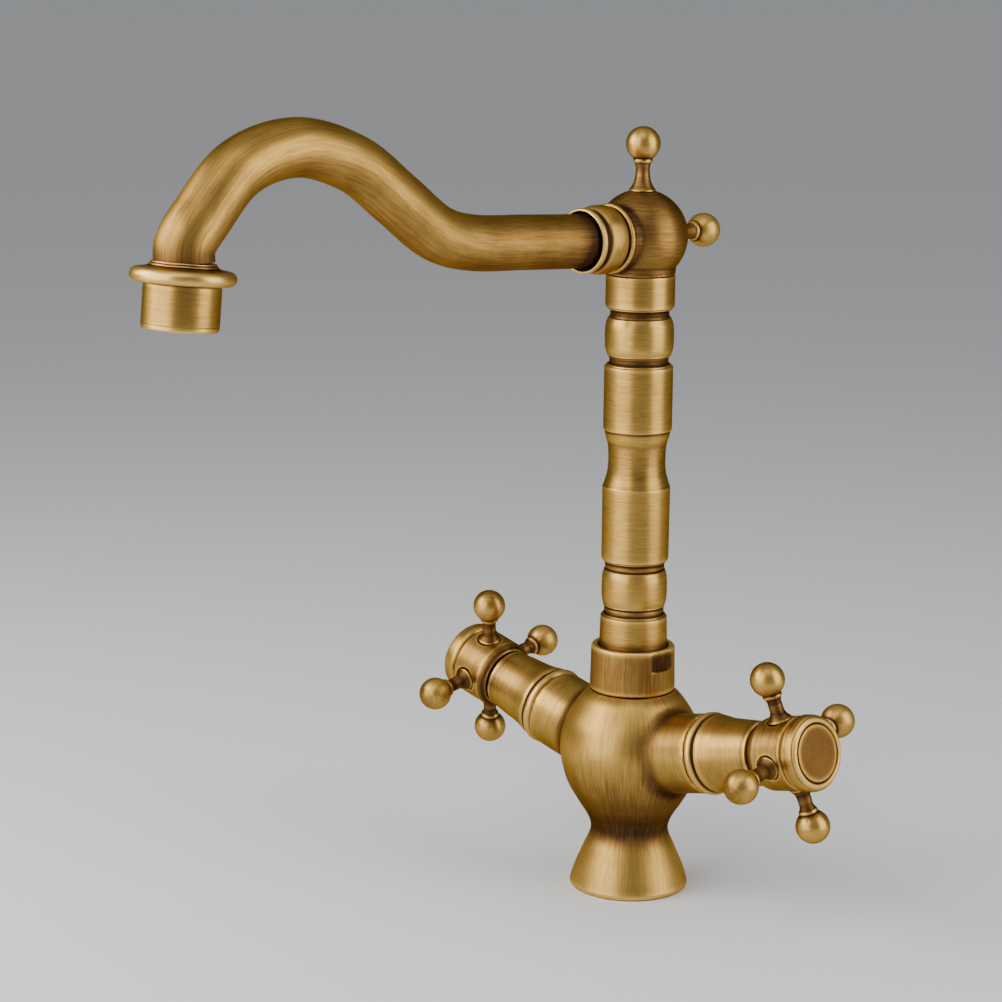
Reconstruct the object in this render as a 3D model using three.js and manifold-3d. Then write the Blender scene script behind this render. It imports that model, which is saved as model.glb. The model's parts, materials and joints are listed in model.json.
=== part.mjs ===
// Two-handle bathroom mixer faucet with a turned column, a ball elbow and a swan-neck spout.
// Millimetres, +Z up. The origin is the centre of the foot's underside, where it meets the deck.
// The spout reaches along -Y. The cold valve is on +X and the hot valve on -X.

import * as THREE from 'three';
import { mergeVertices } from 'three/addons/utils/BufferGeometryUtils.js';
import Module from 'manifold-3d';

const wasm = await Module();
wasm.setup();

// ---------------------------------------------------------------- driving dimensions
const FOOT_RADIUS = 26.4;
const NECK_RADIUS = 17.3;
const NECK_HEIGHT = 25.5;
const URN_RADIUS = 31.6;
const URN_HEIGHT = 63;
const BODY_HEIGHT = 91;
const COLUMN_RADIUS = 15;
const COLUMN_TOP = 274.8;
const COLLAR_HEIGHT = 20;
const ELBOW_RADIUS = 20;
const BALL_RADIUS = 7.4;
const TUBE_RADIUS = 11.4;
const TUBE_WALL = 1.4;
const SPOUT_REACH = 243;
const SPOUT_RISE = 45.8;
const ARM_TILT = 13;
const ARM_HEIGHT = 60.2;
const ARM_RADIUS = 17.3;
const ARM_LENGTH = 48.4;
const SLEEVE_LENGTH = 32.6;
const VALVE_BORE = 12.5;
const HUB_RADIUS = 15.8;
const SPOKE_LENGTH = 17.8;
const SPOKE_LEAN = 10.5;
const OUTLET_TILT = 5.5;
const OUTLET_LENGTH = 25.5;

// Clearances: seated pieces stand off by FIT, and turning pieces by RUN.
const FIT = 0.3;
const RUN = 0.5;

// Sizes that follow from those above. The elbow stands high enough for its neck and its socket.
const COLLAR_RADIUS = COLUMN_RADIUS + 3.8;
const SOCKET_BORE = TUBE_RADIUS + FIT;
const LIP_RADIUS = SOCKET_BORE + 3.25;
const NECK_RISE = 3.17;
const BALL_MEETING = Math.sqrt(ELBOW_RADIUS ** 2 - COLUMN_RADIUS ** 2);
const ELBOW_HEIGHT = COLUMN_TOP + Math.max(NECK_RISE + BALL_MEETING, LIP_RADIUS + FIT);
const FINIAL_REACH = ELBOW_RADIUS + 19.2;
const TUBE_BORE = TUBE_RADIUS - TUBE_WALL;
const OUTLET_TOP = ELBOW_HEIGHT + 6.8;
const OUTLET_RADIUS = TUBE_RADIUS + 3.2;
const FLANGE_RADIUS = TUBE_RADIUS + 8.5;
const SLEEVE_END = ARM_LENGTH + SLEEVE_LENGTH;
const HUB_PLANE = SLEEVE_END + 13.5;
const SPOKE_REACH = HUB_RADIUS + SPOKE_LENGTH;

// Bores and passages in the body casting.
const RECESS_HEIGHT = 24;
const RECESS_MOUTH = 19.5;
const RECESS_ROOF = 14;
const PORT_OFFSET = 6.8;
const PORT_RADIUS = 4.6;
const STUD_OFFSET = 9.4;
const STUD_RADIUS = 3.3;
const PASSAGE_RADIUS = 3;
const CENTRE_BORE = COLUMN_RADIUS - 4.8;
const CENTRE_BORE_DEPTH = 17;
const SPIGOT_RADIUS = CENTRE_BORE - 0.6;
const WATERWAY = Math.min(TUBE_BORE - 2, SPIGOT_RADIUS - 1.6);
const VALVE_SEAT = 14;
const STEM_RADIUS = 4;

const DEGREE = Math.PI / 180;
// Sides of a turned piece, by its size.
const FINE = 20;
const MEDIUM = 16;
const COARSE = 12;
const SLIM = 8;

const BRASS = { color: 0xb48c4c, roughness: 0.42, metalness: 1 };
const DARK_BRASS = { color: 0x8a6a3a, roughness: 0.5, metalness: 1 };
const BARE_BRASS = { color: 0xc9a85a, roughness: 0.35, metalness: 1 };
const STEEL = { color: 0xb8bcc0, roughness: 0.3, metalness: 1 };
const RUBBER = { color: 0x1c1c1c, roughness: 0.85, metalness: 0 };
const PLASTIC = { color: 0xe8e4da, roughness: 0.5, metalness: 0 };
const CERAMIC = { color: 0xf2efe9, roughness: 0.15, metalness: 0 };

// ---------------------------------------------------------------- solids
// A closed geometry becomes a manifold solid that can be joined and cut.
function toSolid(geometry) {
  geometry.deleteAttribute('normal');
  geometry.deleteAttribute('uv');
  const merged = mergeVertices(geometry, 1e-4);
  const place = merged.attributes.position;
  const corners = merged.index.array;
  const triangles = [];
  let volume = 0;
  const [a, b, c] = [new THREE.Vector3(), new THREE.Vector3(), new THREE.Vector3()];
  for (let i = 0; i < corners.length; i += 3) {
    const face = [corners[i], corners[i + 1], corners[i + 2]];
    if (new Set(face).size < 3) continue;
    a.fromBufferAttribute(place, face[0]);
    b.fromBufferAttribute(place, face[1]);
    c.fromBufferAttribute(place, face[2]);
    volume += a.dot(b.cross(c));
    triangles.push(face);
  }
  if (volume < 0) triangles.forEach((face) => face.reverse());
  return new wasm.Manifold(new wasm.Mesh({
    numProp: 3,
    vertProperties: new Float32Array(place.array),
    triVerts: new Uint32Array(triangles.flat()),
  }));
}

function toGeometry(solid) {
  const mesh = solid.getMesh();
  const geometry = new THREE.BufferGeometry();
  geometry.setAttribute('position', new THREE.Float32BufferAttribute(mesh.vertProperties, 3));
  geometry.setIndex(new THREE.Uint32BufferAttribute(mesh.triVerts, 1));
  geometry.computeVertexNormals();
  return geometry;
}

// Turns an outline of [radius, height] points about Z; it closes on itself or ends on the axis.
function lathe(outline, sides = MEDIUM) {
  const points = outline.map(([radius, height]) => new THREE.Vector2(radius, height));
  const closed = outline[0][0] === 0 && outline[outline.length - 1][0] === 0;
  if (!closed) points.push(points[0].clone());
  const geometry = new THREE.LatheGeometry(points, sides);
  geometry.rotateX(Math.PI / 2);
  return geometry;
}

const lathed = (outline, sides) => toSolid(lathe(outline, sides));

// A plain ring or, with no bore, a plain disc.
function ring(low, high, bore, radius, sides = COARSE) {
  return lathed([[bore, low], [radius, low], [radius, high], [bore, high]], sides);
}

// A cylinder from one point to another.
function drill(from, to, radius, sides = COARSE) {
  const start = new THREE.Vector3(...from);
  const axis = new THREE.Vector3(...to).sub(start);
  const geometry = lathe([[0, 0], [radius, 0], [radius, axis.length()], [0, axis.length()]], sides);
  const turn = new THREE.Quaternion().setFromUnitVectors(new THREE.Vector3(0, 0, 1), axis.normalize());
  geometry.applyQuaternion(turn);
  geometry.translate(start.x, start.y, start.z);
  return toSolid(geometry);
}

// A ring of round section, such as an O-ring, at a height.
function roundRing(height, radius, section, sides = COARSE) {
  const outline = [];
  for (let i = 0; i < 6; i += 1) {
    const angle = (i + 0.5) * 60 * DEGREE;
    outline.push([radius + section * Math.cos(angle), height + section * Math.sin(angle)]);
  }
  return lathed(outline, sides);
}

// Points of an arc in [radius, height], from one angle to another in degrees.
function arc(radius, height, size, from, to, steps) {
  const points = [];
  for (let i = 0; i <= steps; i += 1) {
    const angle = (from + ((to - from) * i) / steps) * DEGREE;
    points.push([radius + size * Math.cos(angle), height + size * Math.sin(angle)]);
  }
  return points;
}

// A smooth outline through a few points.
function smooth(points, steps) {
  const curve = new THREE.SplineCurve(points.map((point) => new THREE.Vector2(...point)));
  return curve.getPoints(steps).map((point) => [point.x, point.y]);
}

function part(name, solid, look) {
  const mesh = new THREE.Mesh(toGeometry(solid), new THREE.MeshStandardMaterial(look));
  mesh.name = name;
  return mesh;
}

// ---------------------------------------------------------------- body casting
function armTurn(side) {
  return new THREE.Euler(0, side * (90 - ARM_TILT) * DEGREE, 0);
}

// A solid of the arm's own frame, brought to its place on the body.
function onArm(side, outline, sides = FINE) {
  const geometry = lathe(outline, sides);
  geometry.applyQuaternion(new THREE.Quaternion().setFromEuler(armTurn(side)));
  geometry.translate(0, 0, ARM_HEIGHT);
  return toSolid(geometry);
}

const BOSS_RADIUS = COLLAR_RADIUS - 1.8;
const BOSS_TOP = BODY_HEIGHT + 5;
const SHOULDER_RADIUS = COLLAR_RADIUS + 0.2;
const SHOULDER_HEIGHT = BODY_HEIGHT - 0.4;
const FOOT_EDGE = 1.6;

function bodyOutline() {
  // A point part of the way from one [radius, height] to another.
  const between = (from, to, wide, high) => [
    from[0] + (to[0] - from[0]) * wide, from[1] + (to[1] - from[1]) * high,
  ];
  const foot = [FOOT_RADIUS, 0];
  const neck = [NECK_RADIUS, NECK_HEIGHT];
  const urn = [URN_RADIUS, URN_HEIGHT];
  const shoulder = [SHOULDER_RADIUS, SHOULDER_HEIGHT];
  const flare = smooth([
    [FOOT_RADIUS, FOOT_EDGE], between(foot, neck, 0.25, 0.35), between(foot, neck, 0.68, 0.7),
    neck, between(neck, urn, 0.1, 0.18), between(neck, urn, 0.46, 0.4), between(neck, urn, 0.82, 0.64),
    urn, between(urn, shoulder, 0.16, 0.45), between(urn, shoulder, 0.64, 0.83), shoulder,
  ], 16);
  return [
    [0, 0], [FOOT_RADIUS - 0.9, 0], ...flare,
    [BOSS_RADIUS, SHOULDER_HEIGHT], [BOSS_RADIUS, BOSS_TOP], [0, BOSS_TOP],
  ];
}

const GASKET_OUTER = FOOT_RADIUS - 2.2;
const GASKET_INNER = GASKET_OUTER - 2.2;
const GASKET_HEIGHT = 1.6;

function mixerBody() {
  let body = lathed(bodyOutline(), FINE);
  const lift = (along) => ARM_HEIGHT + along * Math.sin(ARM_TILT * DEGREE);
  const reach = (along) => along * Math.cos(ARM_TILT * DEGREE);
  for (const side of [-1, 1]) {
    body = body.add(onArm(side, [
      [0, 0], [ARM_RADIUS + 0.3, 0], [ARM_RADIUS, ARM_LENGTH], [0, ARM_LENGTH],
    ]));
  }
  for (const side of [-1, 1]) {
    const port = side * PORT_OFFSET;
    const crossing = [port, 0, lift(PORT_OFFSET)];
    body = body.subtract(onArm(side, [
      [0, VALVE_SEAT], [VALVE_BORE, VALVE_SEAT], [VALVE_BORE, ARM_LENGTH + 1], [0, ARM_LENGTH + 1],
    ], MEDIUM));
    body = body.subtract(drill([port, 0, RECESS_HEIGHT - 1], [port, 0, RECESS_HEIGHT + 9], PORT_RADIUS));
    body = body.subtract(drill([port, 0, RECESS_HEIGHT + 8], crossing, PASSAGE_RADIUS));
    body = body.subtract(drill(
      [port * 0.8, 0, lift(PORT_OFFSET * 0.8)],
      [side * reach(VALVE_SEAT + 1), 0, lift(VALVE_SEAT + 1)],
      PASSAGE_RADIUS,
    ));
    body = body.subtract(drill(
      [0, 0, BODY_HEIGHT - CENTRE_BORE_DEPTH + 3.5],
      [side * 19, 0, BODY_HEIGHT - CENTRE_BORE_DEPTH + 1.5],
      PASSAGE_RADIUS,
    ));
  }
  body = body.subtract(lathed([
    [0, -1], [RECESS_MOUTH, -1], [RECESS_MOUTH, 3], [RECESS_ROOF, RECESS_HEIGHT], [0, RECESS_HEIGHT],
  ]));
  body = body.subtract(ring(-1, GASKET_HEIGHT + FIT, GASKET_INNER - FIT, GASKET_OUTER + FIT, FINE));
  body = body.subtract(drill(
    [0, STUD_OFFSET, RECESS_HEIGHT - 1], [0, STUD_OFFSET, RECESS_HEIGHT + 12], STUD_RADIUS,
  ));
  return body.subtract(drill(
    [0, 0, BODY_HEIGHT - CENTRE_BORE_DEPTH], [0, 0, BOSS_TOP + 1], CENTRE_BORE, MEDIUM,
  ));
}

const footGasket = () => ring(0, GASKET_HEIGHT, GASKET_INNER, GASKET_OUTER, FINE);

// ---------------------------------------------------------------- swivel at the column's foot
const COLLAR_BASE = BODY_HEIGHT;
const COLLAR_TOP = COLLAR_BASE + COLLAR_HEIGHT;
const LIP_BASE = COLLAR_TOP - 9.4;
const THREAD_BORE = BOSS_RADIUS + FIT;
const RIM_BORE = COLUMN_RADIUS + RUN;
const FLANGE_TOP = LIP_BASE - FIT;
const FLANGE_BASE = FLANGE_TOP - 2.6;
const SPANNER_WIDTH = 12.4;
const SPANNER_HEIGHT = 9;

function columnCollar() {
  let collar = lathed([
    [THREAD_BORE, COLLAR_BASE], [COLLAR_RADIUS - 0.1, COLLAR_BASE], [COLLAR_RADIUS, COLLAR_BASE + 0.6],
    [COLLAR_RADIUS - 0.4, COLLAR_TOP - 0.7], [COLLAR_RADIUS - 1, COLLAR_TOP], [RIM_BORE + 0.3, COLLAR_TOP],
    [RIM_BORE, COLLAR_TOP - 0.6], [RIM_BORE, LIP_BASE], [THREAD_BORE, LIP_BASE],
  ], FINE);
  const flat = Math.sqrt(COLLAR_RADIUS ** 2 - (SPANNER_WIDTH / 2) ** 2) - 0.1;
  for (const side of [-1, 1]) {
    const cut = new THREE.BoxGeometry(6, SPANNER_WIDTH, SPANNER_HEIGHT + 1);
    cut.translate(side * (flat + 3), 0, COLLAR_TOP - SPANNER_HEIGHT / 2 + 0.5);
    collar = collar.subtract(toSolid(cut));
  }
  return collar;
}

const GLIDE_BORE = CENTRE_BORE + 0.6;
const glideRing = () => ring(BOSS_TOP + FIT, FLANGE_BASE - FIT, GLIDE_BORE, BOSS_RADIUS - FIT, MEDIUM);

const SPIGOT_BASE = BODY_HEIGHT - CENTRE_BORE_DEPTH + 4.5;
const SPIGOT_TOP = BODY_HEIGHT + 25;
const SPIGOT_BORE = SPIGOT_RADIUS - 3.4;
const RING_SECTION = 0.85;
const RING_HEIGHTS = [SPIGOT_BASE + 4, SPIGOT_BASE + 9.5];
const SPIGOT_GROOVE = SPIGOT_RADIUS - 1.8;
const COLUMN_BORE = SPIGOT_RADIUS + FIT;

function swivelSpigot() {
  const outline = [
    [SPIGOT_BORE, SPIGOT_BASE], [SPIGOT_RADIUS - 0.8, SPIGOT_BASE], [SPIGOT_RADIUS, SPIGOT_BASE + 0.8],
  ];
  for (const height of RING_HEIGHTS) {
    outline.push(
      [SPIGOT_RADIUS, height - 1.2], [SPIGOT_GROOVE, height - 1.2],
      [SPIGOT_GROOVE, height + 1.2], [SPIGOT_RADIUS, height + 1.2],
    );
  }
  outline.push([SPIGOT_RADIUS, SPIGOT_TOP], [SPIGOT_BORE, SPIGOT_TOP]);
  return lathed(outline);
}

const spigotRing = (height) => roundRing(height, SPIGOT_GROOVE + 0.35 + RING_SECTION, RING_SECTION);

// ---------------------------------------------------------------- column
// Each groove: its place as a share of the visible length, its depth, and how far the edges
// below and above it stand in from the full radius.
const GROOVES = [
  { place: 0.094, depth: 2, below: 0.4, above: 1.3 },
  { place: 0.221, depth: 2.1, below: 1.3, above: 0.3 },
  { place: 0.771, depth: 2.4, below: 0, above: 0.8 },
  { place: 0.9, depth: 2.5, below: 0.8, above: 0.1 },
];
const GROOVE_EDGE = 2.9;
const GROOVE_FLOOR = 1.1;
const BEAD_SWELL = 0.7;
const WAIST_PLACE = 0.51;
const WAIST_DEPTH = 2.5;

// Height on the column at a share of the way from the collar's top to the column's top.
const station = (share) => COLLAR_TOP + (COLUMN_TOP - COLLAR_TOP) * share;

function grooveOutline({ place, depth, below, above }) {
  const [r, height] = [COLUMN_RADIUS, station(place)];
  return [
    [r - below, height - GROOVE_EDGE], [r - depth, height - GROOVE_FLOOR],
    [r - depth, height + GROOVE_FLOOR], [r - above, height + GROOVE_EDGE],
  ];
}

// The rounded bead between a groove and the next one up.
function beadOutline(lower, upper) {
  const [low, high] = [station(lower.place) + GROOVE_EDGE, station(upper.place) - GROOVE_EDGE];
  const middle = COLUMN_RADIUS - lower.above + BEAD_SWELL;
  const swell = (high - low) * 0.3;
  return [[middle, low + swell], [middle, high - swell]];
}

function column() {
  const r = COLUMN_RADIUS;
  const waist = station(WAIST_PLACE);
  return lathed([
    [COLUMN_BORE, FLANGE_BASE], [BOSS_RADIUS - 0.1, FLANGE_BASE], [BOSS_RADIUS - 0.1, FLANGE_TOP],
    [r, FLANGE_TOP], [r - 0.2, COLLAR_TOP + 5],
    ...grooveOutline(GROOVES[0]),
    ...beadOutline(GROOVES[0], GROOVES[1]),
    ...grooveOutline(GROOVES[1]),
    [r - 0.2, waist - 13], [r - 1.5, waist - 8.5], [r - WAIST_DEPTH, waist - 3],
    [r - WAIST_DEPTH + 0.1, waist + 3.5], [r - 1.5, waist + 8.5], [r, waist + 13],
    ...grooveOutline(GROOVES[2]),
    ...beadOutline(GROOVES[2], GROOVES[3]),
    ...grooveOutline(GROOVES[3]),
    [r, station(GROOVES[3].place) + 4], [r, COLUMN_TOP - FIT], [COLUMN_BORE, COLUMN_TOP - FIT],
  ], FINE);
}

// ---------------------------------------------------------------- ball elbow and finials
const ELBOW_TAIL = COLUMN_TOP - 13;
const SOCKET_DEPTH = ELBOW_RADIUS - 4;
const SOCKET_LIP = ELBOW_RADIUS - 1;
const SOCKET_BOSS = SOCKET_BORE + 2.5;
const STUB_END = ELBOW_RADIUS + 8;
const STUB_RADIUS = SOCKET_BORE + 1.3;
const FINIAL_SEAT = ELBOW_RADIUS - 1.1;
const FINIAL_BASE = 5.8;
const FINIAL_STUB = 2;
const FINIAL_STUB_LENGTH = 5;

// Brings a solid turned about Z to the spout's axis, which leaves the elbow along -Y.
function alongSpout(outline, sides = MEDIUM) {
  const geometry = lathe(outline, sides);
  geometry.rotateX(Math.PI / 2);
  geometry.translate(0, 0, ELBOW_HEIGHT);
  return toSolid(geometry);
}

function ballElbow() {
  const meeting = -Math.acos(COLUMN_RADIUS / ELBOW_RADIUS) / DEGREE;
  const ball = arc(0, ELBOW_HEIGHT, ELBOW_RADIUS, meeting, 90, 9);
  let elbow = lathed([
    [0, ELBOW_TAIL], [SPIGOT_RADIUS, ELBOW_TAIL], [SPIGOT_RADIUS, COLUMN_TOP],
    [COLUMN_RADIUS, COLUMN_TOP], ...ball.slice(0, -1), [0, ELBOW_HEIGHT + ELBOW_RADIUS],
  ], FINE);
  elbow = elbow.add(alongSpout([
    [0, 0], [SOCKET_BOSS, 0], [SOCKET_BOSS, SOCKET_LIP - 0.4], [LIP_RADIUS, SOCKET_LIP],
    [LIP_RADIUS, SOCKET_LIP + 1.3], [LIP_RADIUS - 0.55, SOCKET_LIP + 1.8], [STUB_RADIUS, SOCKET_LIP + 1.8],
    [STUB_RADIUS, STUB_END], [0, STUB_END],
  ]));
  elbow = elbow.subtract(drill([0, 0, ELBOW_TAIL - 1], [0, 0, ELBOW_HEIGHT], WATERWAY));
  const mouth = [0, -STUB_END - 1, ELBOW_HEIGHT];
  elbow = elbow.subtract(drill([0, WATERWAY / 2, ELBOW_HEIGHT], mouth, WATERWAY));
  elbow = elbow.subtract(drill([0, -SOCKET_DEPTH, ELBOW_HEIGHT], mouth, SOCKET_BORE, MEDIUM));
  for (const axis of [[0, 0, 1], [0, 1, 0]]) {
    const at = (along) => axis.map((value, i) => value * along + (i === 2 ? ELBOW_HEIGHT : 0));
    elbow = elbow.subtract(drill(at(FINIAL_SEAT), at(ELBOW_RADIUS + 2), FINIAL_BASE + FIT));
    const floor = FINIAL_SEAT - FINIAL_STUB_LENGTH - 0.5;
    elbow = elbow.subtract(drill(at(floor), at(ELBOW_RADIUS), FINIAL_STUB + FIT));
  }
  return elbow;
}

// A ball on a waisted stem; heights are measured from the centre of what carries it.
function ballKnob(seat, base, reach, stub, stubLength) {
  const neck = reach - Math.sqrt(BALL_RADIUS ** 2 - 3.7 ** 2);
  const stem = neck - seat;
  return [
    [0, seat - stubLength], [stub, seat - stubLength], [stub, seat], [base, seat],
    [base * 0.6, seat + stem * 0.36], [3, seat + stem * 0.7], [4.2, neck - 1], [3.7, neck],
    ...arc(0, reach, BALL_RADIUS, -40, 65, 4), [0, reach + BALL_RADIUS],
  ];
}

const finial = () => lathed(
  ballKnob(FINIAL_SEAT + FIT, FINIAL_BASE, FINIAL_REACH, FINIAL_STUB, FINIAL_STUB_LENGTH), MEDIUM,
);

// ---------------------------------------------------------------- spout
const NUT_START = STUB_END - 7;
const NUT_END = STUB_END + 8.8;
const NUT_STEP = STUB_END + 2.8;

function spoutNut() {
  const r = STUB_RADIUS;
  return alongSpout([
    [r + FIT, NUT_START], [r + 0.7, NUT_START], [r + 0.7, NUT_START + 0.8], [r + 1.4, NUT_START + 1.8],
    [r + 1.7, NUT_START + 5], [r + 1.5, NUT_START + 8.6], [r + 0.8, NUT_END - 5.2],
    [r + 0.1, NUT_END - 4.6], [r + 0.1, NUT_END - 2.8], [r + 0.9, NUT_END - 2.1],
    [r + 0.9, NUT_END - 0.5], [r + 0.5, NUT_END], [r - 0.3, NUT_END], [SOCKET_BORE, NUT_END - 2], [SOCKET_BORE, NUT_STEP], [r + FIT, NUT_STEP],
  ]);
}

const spoutSeal = () => alongSpout([
  [SOCKET_BORE, STUB_END + FIT], [STUB_RADIUS, STUB_END + FIT],
  [STUB_RADIUS, NUT_STEP - FIT], [SOCKET_BORE, NUT_STEP - FIT],
], MEDIUM);

// The tube's course, as shares of the reach and of the rise above the elbow.
const SPOUT_COURSE = [
  [0.288, 0.04], [0.407, 0.08], [0.49, 0.2], [0.576, 0.52], [0.667, 0.84], [0.782, 1], [0.893, 0.86],
];
const OUTLET_BEND = 7;
const OUTLET_DROP = 6;

// Centreline of the tube, as [reach, height] from the elbow to the outlet.
function spoutCurve() {
  const tilt = OUTLET_TILT * DEGREE;
  const points = [
    [SOCKET_DEPTH + FIT, ELBOW_HEIGHT], [NUT_END + 3, ELBOW_HEIGHT + 0.3],
    ...SPOUT_COURSE.map(([reach, rise]) => [SPOUT_REACH * reach, ELBOW_HEIGHT + SPOUT_RISE * rise]),
    [SPOUT_REACH - OUTLET_BEND, ELBOW_HEIGHT + SPOUT_RISE * 0.46],
    [SPOUT_REACH - OUTLET_DROP * Math.sin(tilt), OUTLET_TOP + OUTLET_DROP * Math.cos(tilt)],
    [SPOUT_REACH, OUTLET_TOP],
  ];
  return new THREE.CatmullRomCurve3(
    points.map(([reach, height]) => new THREE.Vector3(0, -reach, height)), false, 'centripetal',
  );
}

function spoutTube() {
  const wall = new THREE.Shape();
  wall.absarc(0, 0, TUBE_RADIUS, 0, Math.PI * 2, false);
  const bore = new THREE.Path();
  bore.absarc(0, 0, TUBE_BORE, 0, Math.PI * 2, true);
  wall.holes.push(bore);
  const geometry = new THREE.ExtrudeGeometry(wall, {
    steps: 18, curveSegments: 8, extrudePath: spoutCurve(), bevelEnabled: false,
  });
  return toSolid(geometry);
}

// ---------------------------------------------------------------- outlet and aerator
// Outlet pieces are turned about the outlet's own axis, with heights running up to the tube's end.
const FLANGE_DROP = 8.4;
const TAIL_RADIUS = OUTLET_RADIUS - 2.3;
const BEAD_SECTION = 2.7;
const TUBE_PLUG = TUBE_BORE - 1.1;
const OUTLET_BORE = TUBE_BORE - 2;
const HOUSING_LIP = 1.3;
const INSERT_WALL = 1.6;
const TAIL_DROP = 14.4;
const HOUSING_BORE = TAIL_RADIUS + FIT;
const INSERT_RADIUS = HOUSING_BORE - FIT;
const INSERT_TOP = TAIL_DROP + 2.2;
const INSERT_BOTTOM = OUTLET_LENGTH - HOUSING_LIP - FIT;

function outletFlange() {
  const r = TUBE_RADIUS;
  const bead = arc(FLANGE_RADIUS - BEAD_SECTION, -FLANGE_DROP + BEAD_SECTION, BEAD_SECTION, 75, -75, 4);
  return lathed([
    [OUTLET_BORE, 2], [TUBE_PLUG, 2], [TUBE_PLUG, -FIT - 0.1], [r + 0.8, -FIT - 0.1], [r + 1, -0.9],
    [r + 1.8, -1.4], [r + 1.9, -2.2], [r + 3.8, -2.9], ...bead, [r + 4, -FLANGE_DROP],
    [TAIL_RADIUS, -FLANGE_DROP], [TAIL_RADIUS, -TAIL_DROP], [OUTLET_BORE, -TAIL_DROP],
  ], FINE);
}

const aeratorHousing = () => lathed([
  [HOUSING_BORE, -FLANGE_DROP - FIT], [OUTLET_RADIUS, -FLANGE_DROP - FIT],
  [OUTLET_RADIUS, 0.9 - OUTLET_LENGTH], [OUTLET_RADIUS - 0.6, -OUTLET_LENGTH],
  [HOUSING_BORE - HOUSING_LIP, -OUTLET_LENGTH], [HOUSING_BORE - HOUSING_LIP, FIT - OUTLET_LENGTH],
  [HOUSING_BORE, HOUSING_LIP - OUTLET_LENGTH],
], FINE);

const aeratorWasher = () => ring(FIT - INSERT_TOP, -TAIL_DROP - FIT, OUTLET_BORE, INSERT_RADIUS);

function aeratorInsert() {
  const jets = 8;
  const jetRing = INSERT_RADIUS * 0.52;
  const jetRadius = INSERT_RADIUS * 0.12;
  const jetPlate = 2.4;
  let insert = ring(-INSERT_BOTTOM, -INSERT_TOP, 0, INSERT_RADIUS);
  const cup = INSERT_RADIUS - INSERT_WALL;
  insert = insert.subtract(ring(-INSERT_BOTTOM - 1, -INSERT_TOP - jetPlate, 0, cup));
  for (let i = 0; i < jets; i += 1) {
    const angle = (i * 2 * Math.PI) / jets;
    const [x, y] = [jetRing * Math.cos(angle), jetRing * Math.sin(angle)];
    insert = insert.subtract(drill([x, y, -INSERT_TOP - 4], [x, y, 1 - INSERT_TOP], jetRadius, SLIM));
  }
  return insert;
}

// ---------------------------------------------------------------- valves
// Valve and handle pieces are turned about the arm's axis, with heights measured out from the column.
const BEAD_START = ARM_LENGTH + FIT;
const BEAD_END = BEAD_START + 4.3;
const SLEEVE_BORE = VALVE_BORE - 0.6;
const NECK_BORE_RADIUS = SLEEVE_BORE - 2.6;
const CARTRIDGE_NOSE = VALVE_BORE - 2.9;
const DISC_RADIUS = CARTRIDGE_NOSE - 1.4;
const SEAL_TOP = VALVE_SEAT + 2.3;
const FIXED_DISC = SEAL_TOP + FIT;
const DISC_THICKNESS = 2.6;
const TURNING_DISC = FIXED_DISC + DISC_THICKNESS + FIT;
const STEM_BASE = TURNING_DISC + DISC_THICKNESS + FIT;
const CHAMBER_END = STEM_BASE + 3.2;
const CARTRIDGE_END = SLEEVE_END + 5;
const STEM_END = HUB_PLANE + 1.5;
const SEAL_GROOVE = ARM_LENGTH - 10.4;
const STEM_GROOVE = SLEEVE_END - 21;
const STEM_SEAL_RADIUS = STEM_RADIUS + 2.1;

function bonnetSleeve() {
  const r = ARM_RADIUS;
  const bead = arc(r - 1.5, (BEAD_START + BEAD_END) / 2, 2.1, -75, 75, 4);
  return lathed([
    [SLEEVE_BORE, BEAD_START], [r - 1.4, BEAD_START], ...bead, [r - 0.6, BEAD_END + 0.1],
    [r - 0.6, BEAD_END + 2.4], [r - 1.7, BEAD_END + 8], [r - 2.4, BEAD_END + 14],
    [r - 3.5, SLEEVE_END - 0.8], [r - 4.2, SLEEVE_END], [NECK_BORE_RADIUS, SLEEVE_END],
    [NECK_BORE_RADIUS, SLEEVE_END - 3], [SLEEVE_BORE, SLEEVE_END - 3],
  ], FINE);
}

const valveSeal = () => ring(VALVE_SEAT + FIT, SEAL_TOP, PASSAGE_RADIUS + 0.5, DISC_RADIUS);

// A ceramic disc with two water ports through it.
function ceramicDisc(base, radius) {
  const [port, offset] = [DISC_RADIUS * 0.28, DISC_RADIUS * 0.49];
  let disc = ring(base, base + DISC_THICKNESS, 0, radius);
  for (const side of [-1, 1]) {
    const x = side * offset;
    disc = disc.subtract(drill([x, 0, base - 1], [x, 0, base + DISC_THICKNESS + 1], port));
  }
  return disc;
}

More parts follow.
